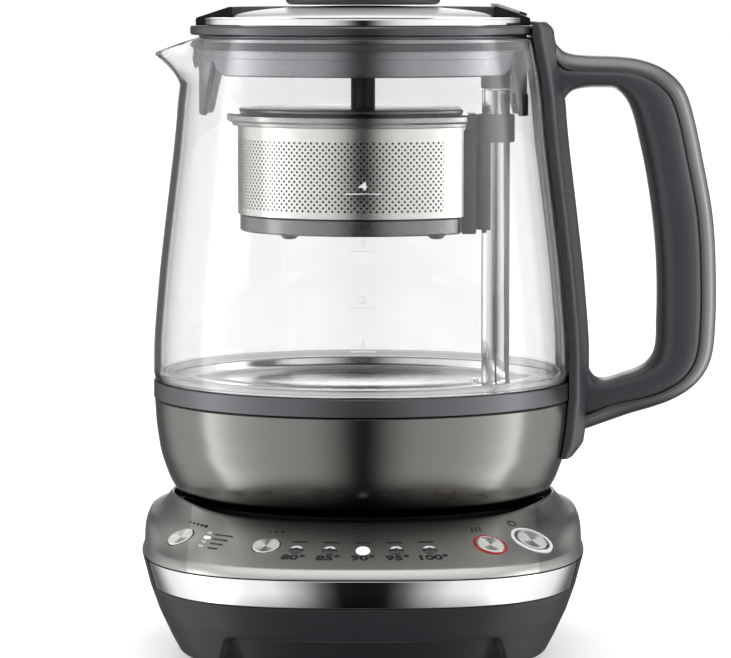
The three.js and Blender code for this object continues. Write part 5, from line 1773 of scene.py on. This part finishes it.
    @staticmethod
    def width(ends: tuple[float, float], count: int) -> Array:
        """Returns half widths that swell from the ends to the middle by a squared sine."""
        return mix(*ends, np.sin(np.linspace(0, math.pi, count)) ** 2)

    def grip(self) -> Surface:
        """Lofts the grip: rounded-square sections between the inner curve and the trim.

        Returns:
            The grip.
        """
        inner, _, out = self.curves()
        depth = np.linalg.norm(out, axis=1)
        out = out / depth[:, None]
        u, v = powered(np.linspace(0, TAU, 49)[:-1], self.grip_power)
        half = (depth - self.trim + 1.2) / 2
        middle = inner + out * half[:, None]
        pts = middle[:, None] + out[:, None] * (u[None, :, None] * half[:, None, None])
        pts[:, :, 1] += v[None] * self.width(self.grip_half, len(inner))[:, None]
        return loft(pts)

    def grip_trim(self) -> Surface:
        """Lofts the metal trim: a half-round strip over the outside of the grip.

        Returns:
            The trim, without the stretch that would lie in the bracket.
        """
        _, outer, out = self.curves()
        out = out / np.linalg.norm(out, axis=1)[:, None]
        u, v = powered(np.linspace(-math.pi / 2, math.pi / 2, 31), self.trim_power)
        root = outer - out * self.trim
        pts = root[:, None] + out[:, None] * (u[None, :, None] * self.trim)
        pts[:, :, 1] += v[None] * self.width(self.trim_half, len(outer))[:, None]
        face = np.array([self.bracket_face(float(z)) - 4 for z in outer[:, 2]])
        return loft(pts[outer[:, 0] > face])

    def build(self) -> None:
        """Makes every piece of the jug."""
        p, bench, body = self.palette, self.bench, Body.JUG
        probe = self.probe_form.turned(40).shifted(*self.probe_at, 0.0)
        bench.piece("glass_wall", self.glass(), p.glass, body, ["glass_body"], "jug_glass", SOFT_CREASE)
        bench.piece("steel_foot", self.shell(), p.shell, body, ["steel_shell"], "foot_steel")
        bench.piece("smoked_band", self.smoked.turned(256), p.band, body, ["trim_band"], "band_plastic")
        bench.piece("steel_floor", self.dish.turned(240), p.steel, body, ["hot_plate"], "plain_steel")
        bench.piece("oval_pole", self.pole(), p.pole, body, ["pole"], "plain_steel")
        bench.piece("pole_groove", self.pole_strip(FRONT - 0.04, FRONT + 0.04), p.grey, body, (), "grey_plastic")
        bench.piece("pole_edge_strip", self.pole_strip(-0.85, 0.85), p.grey, body, (), "grey_plastic")
        bench.piece("oval_pole_cap", self.cap(), p.grey, body, ["pole_cap"], "grey_plastic")
        bench.piece("probe_on_floor", probe, p.pole, body, ["temperature_probe"], "plain_steel")
        bench.piece("bracket_bar", self.bracket(), p.grip, body, ["handle_bracket"], "handle_plastic", FINE_CREASE)
        bench.piece("d_grip", self.grip(), p.grip, body, ["handle_grip"], "handle_plastic", SOFT_CREASE)
        bench.piece("d_grip_trim", self.grip_trim(), p.trim, body, ["handle_trim"], "trim_metal", SOFT_CREASE)
        bench.piece("level_marks", self.marks(), p.print_white, body, (), "white_lens", PRINT_CREASE)
        bench.piece("clear_ring", self.seal(), p.clear_seal, body, ["glass_seal"], "seal_rubber")
        bench.dress(p.black, "under_cover", "jug_connector")
        bench.dress(p.ceramic, "thermostat_block")
        bench.dress(p.seal, "pole_seal")
        bench.dress(p.pole, "heating_element", "drive_motor", "lead_screw")


# Leaf basket


@dataclass(frozen=True)
class Basket:
    """The leaf basket with its carriage and lid.

    Every size is in millimetres, and every angle in degrees.
    """

    bench: Bench
    palette: Palette
    radius: float = 46.5
    chord: float = 36.4
    wall: float = 0.8
    bottom: float = 155.3
    wall_bottom: float = 161.6
    wall_top: float = 195.4
    pitch: float = 2.3
    row: float = 1.17
    hole: float = 0.47
    holes_low: float = 163.8
    rows: int = 22
    margin: float = 12.9
    corner: float = 2.0
    rim_slab: Pairs = ((50.5, 38.6), (44.0, 34.0))
    rim_skirt: Pairs = ((48.6, 38.4), (46.8, 36.8))
    cup: Pairs = ((45.7, 35.6), (44.1, 34.0))
    plate: tuple[float, float] = (44.6, 34.5)
    lid_plate: tuple[float, float] = (46.0, 36.4)
    bump: Section = Section(((0, 153.8), (2.2, 153.9), (3.4, 155.5), (0, 155.5)), (0, 1.4, 0, 0), 5, False)
    bump_at: tuple[float, float] = (26.5, -34.5)
    stem: Section = Section(((0, 200.0), (4.5, 200.0), (4.5, 212), (0, 212)), (0, 0, 0.7, 0), 4, False)
    bridge_box: Pairs = ((38.2, -8), (42.0, -7), (42.0, 7), (38.2, 8))
    spine_box: Pairs = ((36.5, -6), (42.0, -6), (42.0, 6), (36.5, 6))
    collar_x: float = 49.3
    collar_outer: tuple[float, float] = (7.15, 6.55)
    collar_inner: tuple[float, float] = (5.55, 4.95)
    leg_angles: tuple[float, float] = (112.0, 248.0)

    @property
    def half(self) -> float:
        """Half the angle that the flat side takes up."""
        return math.acos(self.chord / self.radius)

    def flat_sided(self, radius: float, chord: float, count: int = 150) -> Array:
        """Works out a circle with one flat side, anticlockwise, its two corners rounded.

        Args:
            radius: The circle's radius.
            chord: Distance of the flat side from its centre.
            count: Points along the circle, before those next to the corners go.

        Returns:
            The outline.
        """
        half = math.acos(chord / radius)
        arc = np.linspace(half, TAU - half, count)[[0, *range(3, count - 3), -1]]
        sizes = np.zeros(len(arc))
        sizes[[0, -1]] = self.corner
        return rounded(np.column_stack([radius * np.cos(arc), radius * np.sin(arc)]), sizes)

    def flat_ring(self, pair: Pairs, bottom: float, top: float, edge: float) -> Surface:
        """Raises the ring between two flat-sided circles."""
        return tube_prism(self.flat_sided(*pair[0]), self.flat_sided(*pair[1]), bottom, top, edge)

    def perforated(self) -> Surface:
        """Makes the pierced part of the wall.

        The wall is a lattice of cells, half a pitch out of step from row to row. Each cell is an
        eight-sided frame of quads between its edge and its hole, on both faces, with a wall
        through the hole. A cell's side carries a point at its middle, which is a corner of the
        two cells above or below it.

        Returns:
            The pierced wall.
        """
        start = self.half + math.radians(self.margin)
        span = TAU - 2 * start
        columns = int(round(span * self.radius / self.pitch))
        step = span / columns
        i, j = np.meshgrid(np.arange(columns), np.arange(self.rows), indexing="ij")
        u0, v0 = (i + np.where(j % 2 == 1, 0.5, 0.0)).reshape(-1), j.reshape(-1)
        edge = np.array([(0, 0), (0.5, 0), (1, 0), (1, 0.5), (1, 1), (0.5, 1), (0, 1), (0, 0.5)], float)
        around = np.linspace(-0.75, 1.0, 8) * math.pi
        hole = np.column_stack([0.5 + self.hole / self.pitch * np.cos(around),
                                0.5 + self.hole / self.row * np.sin(around)])
        cell = np.vstack([edge, hole])
        u = (u0[:, None] + cell[None, :, 0]) * step + start
        z = self.holes_low + (v0[:, None] + cell[None, :, 1]) * self.row
        faces = [round_points(np.full_like(u, radius), u, z) for radius in (self.radius, self.radius - self.wall)]
        points = np.stack(faces, 1).reshape(-1, 3)
        k = np.arange(8)
        n = (k + 1) % 8
        corners = np.stack([[k, n, 8 + n, 8 + k], [16 + n, 16 + k, 24 + k, 24 + n], [8 + k, 8 + n, 24 + n, 24 + k]])
        quads = corners.transpose(2, 0, 1).reshape(-1, 1, 4) + np.arange(len(u0))[None, :, None] * len(cell) * 2
        return welded(Surface(points, [quads.reshape(-1, 4)]))

    def stretch(self, bottom: float, top: float, start: float, sweep: float) -> Surface:
        """Turns a plain stretch of the wall."""
        inner = self.radius - self.wall
        return turned([(self.radius, bottom), (self.radius, top), (inner, top), (inner, bottom)], 200, start, sweep)

    def sides(self) -> Surface:
        """Joins the wall: the pierced middle, plain strips round it, and the plain flat side.

        Returns:
            The whole wall.
        """
        half, margin, lap = self.half, math.radians(self.margin), 0.028
        low, high = self.holes_low, self.holes_low + self.rows * self.row
        strips = [self.stretch(self.wall_bottom, low, half, TAU - 2 * half),
                  self.stretch(high, self.wall_top, half, TAU - 2 * half),
                  self.stretch(low, high, half, margin + lap),
                  self.stretch(low, high, TAU - half - margin, margin)]
        corner, inner, cut = math.sqrt(self.radius ** 2 - self.chord ** 2), self.chord - self.wall, 0.4
        flat = np.array([(inner, cut - corner), (self.chord, -corner), (self.chord, corner), (inner, corner - cut)])
        return self.perforated().plus(*strips, slab(flat, self.wall_bottom, self.wall_top))

    def rim(self) -> Surface:
        """Returns the dark rim: a slab with cut edges and a skirt round the wall."""
        return self.flat_ring(self.rim_slab, 195.7, 198.8, 0.7).plus(self.flat_ring(self.rim_skirt, 194.3, 196.2, 0.3))

    def lining(self) -> Surface:
        """Turns the fine dark mesh inside the pierced wall, as a thin sheet.

        Returns:
            The sheet.
        """
        outer, sheet, half, low = self.radius - self.wall - 0.1, 0.3, self.half + 0.02, self.wall_bottom + 0.2
        box = [(outer, low), (outer, self.wall_top), (outer - sheet, self.wall_top), (outer - sheet, low)]
        return turned(box, 160, half, TAU - 2 * half)

    def floor(self) -> Surface:
        """Returns the floor: a shallow cup that closes the wall from below."""
        plate = prism(self.flat_sided(*self.plate), edge_profile(self.bottom + 0.1, self.bottom + 1.2, 0.3))
        return self.flat_ring(self.cup, self.bottom, self.bottom + 6, 0.5).plus(plate)

    def bumps(self) -> Surface:
        """Turns two small oval bumps under the floor.

        Returns:
            Both bumps.
        """
        round_bump = self.bump.turned(32)
        oval = Surface(round_bump.points * np.array([1.0, 0.45, 1.0]), round_bump.faces)
        aside, ahead = self.bump_at
        return oval.shifted(-aside, ahead, 0).plus(oval.shifted(aside, ahead, 0))

    def bridge(self) -> Surface:
        """Returns the block behind the rim, which reaches to the carriage's leg."""
        return prism(rounded(self.bridge_box, [0.3, 1.2, 1.2, 0.3], 4), edge_profile(192.2, 198.4, 0.3))

    def spine(self) -> Surface:
        """Returns the dark spine on the basket's flat side."""
        return prism(rounded(self.spine_box, [0.5, 1.2, 1.2, 0.5], 4), edge_profile(153.8, 192.4, 0.7))

    def lid(self) -> Surface:
        """Returns the basket's lid, a thin plate with a rounded edge."""
        return prism(self.flat_sided(*self.lid_plate), edge_profile(199.1, 200.6, 0.6))

    def collar_oval(self, half: tuple[float, float], t: Array) -> Array:
        """Returns an oval about the pole's axis: x and y are its half sizes times cosine and sine."""
        return np.column_stack([self.collar_x + half[0] * np.cos(t), half[1] * np.sin(t)])

    def collar(self) -> Surface:
        """Raises the collar that slides on the pole.

        Returns:
            The collar.
        """
        t = np.linspace(0, TAU, 73)[:-1]
        outer, inner = (self.collar_oval(half, t) for half in (self.collar_outer, self.collar_inner))
        return tube_prism(outer, inner, 187.8, 198.2, 0.5)

    def leg(self) -> Surface:
        """Raises the leg that hangs from the collar behind the basket.

        Returns:
            The leg.
        """
        t = np.linspace(*np.radians(self.leg_angles), 25)
        ring = np.vstack([self.collar_oval(self.collar_outer, t), self.collar_oval(self.collar_inner, t)[::-1]])
        return slab(ring, self.bottom, 187.9)

    def build(self) -> None:
        """Makes every piece of the basket."""
        p, bench, body, steel, plastic = self.palette, self.bench, Body.BASKET, "basket_steel", "handle_plastic"
        bench.piece("perforated_wall", self.sides(), p.basket, body, ["basket_body"], steel, FINE_CREASE)
        bench.piece("basket_lining", self.lining(), p.lining, body, (), steel)
        bench.piece("basket_rear_bridge", self.bridge(), p.grey, body, (), plastic)
        bench.piece("basket_dark_rim", self.rim(), p.dark_steel, body, ["basket_rim"], steel)
        bench.piece("basket_cup", self.floor(), p.cup, body, ["basket_floor"], steel)
        bench.piece("basket_bumps", self.bumps(), p.cup, body, (), steel)
        bench.piece("basket_dark_spine", self.spine(), p.grey, body, ["basket_spine"], plastic)
        bench.piece("basket_plate_lid", self.lid(), p.plate_lid, Body.BASKET_LID, ["basket_lid"], steel)
        bench.piece("basket_lid_stem", self.stem.turned(48), p.grip, Body.BASKET_LID, (), plastic)
        bench.piece("carriage_collar", self.collar(), p.grey, Body.CARRIAGE, ["carriage"], "grey_plastic")
        bench.piece("carriage_leg", self.leg(), p.grey, Body.CARRIAGE, (), "grey_plastic")
        bench.dress(p.grey, "drive_magnet")


# Lid


@dataclass(frozen=True)
class Lid:
    """The lift-out lid.

    Every size is in millimetres, and every angle in degrees.
    """

    bench: Bench
    palette: Palette
    disc: Section = Section(((0, 227.5), (64, 227.5), (64, 231.1), (0, 231.1)), (0, 1.2, 1.2, 0), 6, False)
    rim: Section = Section(((48.4, 230.4), (62, 230.4), (62, 233.8), (49.6, 237.9), (48.4, 237.9)),
                           (0, 0, 0.8, 0.5, 0.3))
    dome_radius: float = 47.7
    dome_heights: Triple = (231.5, 234.3, 238.4)
    dome_powers: tuple[float, float] = (0.9, 1.15)
    tier: Section = Section(((47.2, 231.4), (58.9, 231.4), (58.8, 233.7), (56.5, 234.15), (48, 234.25),
                             (47.2, 234.25)), (0, 0.1, 0.5, 0.8, 0.4, 0), 6)
    knob: Section = Section(((0, 238.7), (27.5, 238.7), (28.6, 239.8), (28.6, 249.5), (26.4, 251.7), (0, 251.4)),
                            (0, 0.8, 0.8, 2.0, 2.0, 0), 6, False)
    skirt_angles: tuple[float, ...] = (0, 16, 17.5, 27.6, 28.4, 30, 33, 36)
    skirt_lows: tuple[float, ...] = (198.2, 198.2, 199.4, 218, 218, 215.2, 213.3, 212.8)
    skirt_outer: Pairs = ((60.8, 218.4), (60.8, 219.0), (60.2, 219.2), (60.2, 221.6), (60.8, 221.8), (60.8, 227.2))
    skirt_inner: Pairs = ((53.0, 227.2), (53.0, 225.4), (59.0, 225.4))
    slope: Pairs = ((49.6, 237.9), (62.0, 233.8))
    tab_stand: float = 0.3
    tab_thickness: float = 1.05
    tab_reach: tuple[float, float] = (50.0, 58.4)
    tip_reach: tuple[float, float] = (58.6, 61.25)
    tab_turn: tuple[float, float] = (5.0, 12.0)
    tip_turn: tuple[float, float] = (5.2, 11.6)
    catch: Section = Section(((61.3, 197.9), (61.3, 205.6), (58.8, 205.6), (58.8, 197.9)), 0.15, 3)
    catch_turn: tuple[float, float] = (-15.5, 31.0)
    seal: Section = Section(((61.1, 222), (61.7, 222.4), (61.7, 224.6), (61.1, 225)), 0.2, 3)

    def dome(self) -> Surface:
        """Turns the steel dome: its radius follows a power of a cosine, its height one of a sine.

        Returns:
            The dome.
        """
        foot, low, high = self.dome_heights
        flat, steep = self.dome_powers
        t = np.linspace(0, 1, 26) * math.pi / 2
        radius = self.dome_radius * np.append(np.cos(t[:-1]) ** flat, 0.0)
        curve = np.column_stack([radius, mix(low, high, np.sin(t) ** steep)])
        return turned(np.vstack([[(0, foot), (self.dome_radius, foot)], curve]), 240)

    def skirt(self) -> Surface:
        """Sweeps the skirt that hangs inside the glass, with a long tab at each side.

        The walls go down to the lower edge, whose height follows the angle, and no corner of the
        outer wall lies less than half a millimetre above it.

        Returns:
            The skirt.
        """
        angle = np.linspace(0, TAU, 361)[:-1]
        off = np.degrees(np.arctan2(np.abs(np.sin(angle)), np.abs(np.cos(angle))))
        low = np.interp(off, self.skirt_angles, self.skirt_lows)
        rows = [(60.2, low), (60.8, low + 0.5)]
        rows += [(radius, np.maximum(height, low + 0.5)) for radius, height in self.skirt_outer + self.skirt_inner]
        rows += [(59.0, low + 0.4), (59.4, low)]
        return swept(angle, rows)

    def tab(self, reach: tuple[float, float], turn: tuple[float, float]) -> Surface:
        """Turns a slab that lies along the rear rim's slope.

        The slope's height falls evenly from its inner to its outer end.

        Args:
            reach: Radii of the slab.
            turn: Its first angle and its sweep.

        Returns:
            The slab.
        """
        (near, high), (far, low) = self.slope
        inner, outer = ((r, mix(high, low, (r - near) / (far - near)) + self.tab_stand) for r in reach)
        box = (inner, outer, (outer[0], outer[1] + self.tab_thickness), (inner[0], inner[1] + self.tab_thickness))
        return Section(box, 0.25, 3).turned(24, *np.radians(turn))

    def build(self) -> None:
        """Makes every piece of the lid."""
        p, bench, body, rim = self.palette, self.bench, Body.LID, self.rim.turned(120, 0.0, math.pi)
        tier = self.tier.turned(200, math.pi + 0.005, math.pi - 0.01)
        catch = self.catch.turned(24, *np.radians(self.catch_turn))
        bench.piece("lid_disc", self.disc.turned(240), p.lid, body, ["lid_collar"], "lid_plastic")
        bench.piece("lid_rear_rim", rim, p.dark, body, (), "lid_plastic")
        bench.piece("lid_pale_tab", self.tab(self.tab_reach, self.tab_turn), p.tab, body, ["lid_tab"], "tab_plastic")
        bench.piece("lid_tab_tip", self.tab(self.tip_reach, self.tip_turn), p.dark, body, (), "lid_plastic")
        bench.piece("lid_steel_dome", self.dome(), p.dome, body, ["lid_dome"], "plain_steel")
        bench.piece("lid_polished_tier", tier, p.tier, body, (), "plain_steel")
        bench.piece("lid_round_knob", self.knob.turned(160), p.knob, body, ["lid_knob"], "handle_plastic")
        bench.piece("lid_hanging_skirt", self.skirt(), p.skirt, body, ["lid_skirt"], "skirt_plastic")
        bench.piece("lid_tab_foot", catch, p.black, body, (), "lid_plastic")
        bench.piece("lid_soft_seal", self.seal.turned(200), p.dark_seal, body, ["lid_seal"], "seal_rubber")


# Studio


@dataclass(frozen=True)
class Studio:
    """Camera, floor and light."""

    axis: Triple
    distance: float = 1.427
    lens: float = 189.06
    sensor: float = 36.0
    height: float = 0.2454
    pitch: float = 5.1
    image_width: float = 731.0
    axis_pixel: float = 363.0
    floor_side: float = 6.0
    floor_color: Triple = (0.9, 0.9, 0.9)
    floor_lift: float = 0.38
    behind_glass: float = 0.4
    round_levels: Pairs = (
        (0.0, 0.008), (0.014, 0.012), (0.04, 0.13), (0.076, 0.44), (0.115, 0.68), (0.16, 0.92), (0.27, 1.05),
        (0.34, 1.2), (0.42, 1.6), (0.47, 2.2), (0.505, 3.0), (0.54, 3.1), (0.553, 1.6), (0.57, 1.12), (0.63, 1.08),
        (0.72, 0.9), (0.765, 0.6), (0.805, 0.3), (0.84, 0.14), (0.935, 0.14), (0.965, 0.95), (1.0, 1.0))
    ceiling: tuple[float, float] = (0.55, 0.7)
    lamp_place: Triple = (0.0, 0.1, 1.5)
    lamp_size: float = 1.6
    lamp_power: float = 5.0
    lamp_aim: float = 0.12

    @staticmethod
    def add(name: str, data: Any) -> bpy.types.Object:
        """Adds an object of the studio to the scene.

        Args:
            name: The object's name.
            data: Its camera, mesh or light.

        Returns:
            The object.
        """
        obj = bpy.data.objects.new(name, data)
        bpy.context.scene.collection.objects.link(obj)
        return obj

    def camera(self) -> None:
        """Puts the camera where the photograph was taken from."""
        data = bpy.data.cameras.new("camera")
        data.lens, data.sensor_width, data.sensor_fit = self.lens, self.sensor, "HORIZONTAL"
        data.clip_start, data.clip_end = 0.05, 50
        data.shift_x = (self.image_width / 2 - self.axis_pixel) / self.image_width
        obj = self.add("camera", data)
        obj.location = (self.axis[0], self.axis[1] - self.distance, self.height)
        obj.rotation_euler = (math.radians(90 - self.pitch), 0, 0)
        bpy.context.scene.camera = obj

    def floor(self) -> None:
        """Lays a wide pale floor, which mirrored rays pass through, also behind glass."""
        mesh = bpy.data.meshes.new("floor")
        side = self.floor_side
        mesh.from_pydata([(-side, -side, 0), (side, -side, 0), (side, side, 0), (-side, side, 0)], [], [(0, 1, 2, 3)])
        obj = self.add("floor", mesh)
        paint = bpy.data.materials.new("floor_paint")
        paint.use_nodes = True
        nodes = Nodes(paint.node_tree)
        set_inputs(nodes.shader, Base_Color=(*self.floor_color, 1), Roughness=0.7, Emission_Color=(1, 1, 1, 1))
        path = nodes.add("LightPath").outputs
        through = path["Is Transmission Ray"]
        dimmer = nodes.math("SUBTRACT", 1.0, nodes.math("MULTIPLY", through, self.behind_glass))
        lift = nodes.math("MULTIPLY", nodes.math("MULTIPLY", self.shown(nodes), self.floor_lift), dimmer)
        nodes.feed(nodes.shader.inputs["Emission Strength"], lift)
        hidden = nodes.math("MULTIPLY", through, nodes.math("GREATER_THAN", path["Glossy Depth"], 0.5))
        mixed = nodes.add("MixShader", in_0=hidden, in_1=nodes.shader.outputs[0],
                          in_2=nodes.add("BsdfTransparent").outputs[0])
        nodes.feed(nodes.tree.nodes["Material Output"].inputs["Surface"], mixed.outputs[0])
        mesh.materials.append(paint)
        obj.visible_glossy = False
        obj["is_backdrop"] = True

    @staticmethod
    def shown(nodes: Nodes) -> Socket:
        """Tells rays that show the backdrop from those that light the object.

        Args:
            nodes: The nodes of the floor or of the world.

        Returns:
            1 for what the camera sees directly or straight through glass, and 0 otherwise.
        """
        path = nodes.add("LightPath").outputs
        straight = nodes.math("LESS_THAN", nodes.math("ADD", path["Glossy Depth"], path["Diffuse Depth"]), 0.5)
        through = nodes.math("MULTIPLY", path["Is Transmission Ray"], straight)
        return nodes.math("MAXIMUM", path["Is Camera Ray"], through)

    def all_round(self, nodes: Nodes, turn: Socket) -> Socket:
        """Spreads the levels round the studio.

        Args:
            nodes: The world's nodes.
            turn: 0 towards the back and 1 towards the front.

        Returns:
            The strength in that direction.
        """
        ramp = nodes.add("ValToRGB", in_0=turn)
        bar = ramp.color_ramp
        brightest = max(level for _, level in self.round_levels)
        for i, (position, level) in enumerate(self.round_levels):
            stop = bar.elements[0] if i == 0 else bar.elements.new(position)
            stop.position, stop.color = position, (*[level / brightest] * 3, 1)
        bar.elements.remove(bar.elements[len(bar.elements) - 1])
        return nodes.math("MULTIPLY", ramp.outputs[0], brightest)

    def world(self) -> None:
        """Lights the scene from all round.

        The camera sees plain white, also straight through glass. Reflections and light come from
        a round studio: a dark slot towards the camera, bright panels at the left and the right
        with a narrow brighter strip in each, dark screens beside the white backdrop, and a pale
        ceiling with a dark gap between it and the backdrop.
        """
        world = bpy.data.worlds.new("studio")
        bpy.context.scene.world = world
        world.use_nodes = True
        world.node_tree.nodes.clear()
        nodes = Nodes(world.node_tree)
        x, y, z = nodes.add("SeparateXYZ", in_0=nodes.add("TexCoord").outputs["Generated"]).outputs
        turn = nodes.math("ARCTAN2", nodes.math("ABSOLUTE", x), nodes.math("MULTIPLY", y, -1.0))
        turn = nodes.math("MULTIPLY", turn, 1 / math.pi)
        overhead = nodes.math("ADD", self.ceiling[0], nodes.math("MULTIPLY", nodes.ease(z, 0.5, 1.0), self.ceiling[1]))
        up, sunk = nodes.ease(z, 0.42, 0.7), nodes.ease(nodes.math("MULTIPLY", z, -1.0), 0.62, 0.92)
        strip = nodes.math("MULTIPLY", nodes.ease(z, 0.36, 0.4), nodes.math("SUBTRACT", 1.0, nodes.ease(z, 0.6, 0.66)))
        gap = nodes.math("MULTIPLY", nodes.ease(turn, 0.9, 0.96), strip)
        below = nodes.math("SUBTRACT", 1.0, nodes.math("MULTIPLY", sunk, 0.8))
        walls = nodes.math("MULTIPLY", nodes.math("MULTIPLY", self.all_round(nodes, turn), below),
                           nodes.math("SUBTRACT", 1.0, up))
        level = nodes.math("ADD", walls, nodes.math("MULTIPLY", overhead, up))
        level = nodes.math("MULTIPLY", level, nodes.math("SUBTRACT", 1.0, nodes.math("MULTIPLY", gap, 0.93)))
        lit, plain = (nodes.add("Background", in_0=(1, 1, 1, 1), in_1=strength).outputs[0] for strength in (level, 1.0))
        seen = nodes.add("MixShader", in_0=self.shown(nodes), in_1=lit, in_2=plain)
        nodes.add("OutputWorld", in_0=seen.outputs[0])

    def lamp(self) -> None:
        """Hangs one soft light above, which no reflection shows."""
        data = bpy.data.lights.new("soft_light_1", "AREA")
        data.shape, data.size, data.energy = "SQUARE", self.lamp_size, self.lamp_power
        obj = self.add(data.name, data)
        obj.location = self.lamp_place
        obj.rotation_mode = "QUATERNION"
        obj.rotation_quaternion = (Vector((0, 0, self.lamp_aim)) - obj.location).to_track_quat("-Z", "Y")
        obj.visible_glossy = obj.visible_transmission = False

    def build(self) -> None:
        """Sets the studio up."""
        bpy.context.scene.view_settings.view_transform = "Standard"
        for step in (self.camera, self.floor, self.world, self.lamp):
            step()


def corners() -> list[list[float]]:
    """Returns the shown object's box as plain lists."""
    return [[float(value) for value in corner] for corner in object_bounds()]


def main() -> None:
    """Builds the tea maker and its studio."""
    logging.basicConfig(level=logging.INFO, format="%(name)s %(message)s", stream=sys.stdout)
    for obj in list(bpy.data.objects):
        bpy.data.objects.remove(obj)
    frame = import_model()
    bench = Bench(frame)
    palette = Palette(bench.centre)
    Studio(bench.centre).build()
    for part in (PowerBase, Jug, Basket, Lid):
        part(bench, palette).build()
    log.info("%d pieces made", len(bench.made))


if __name__ == "__main__":
    main()
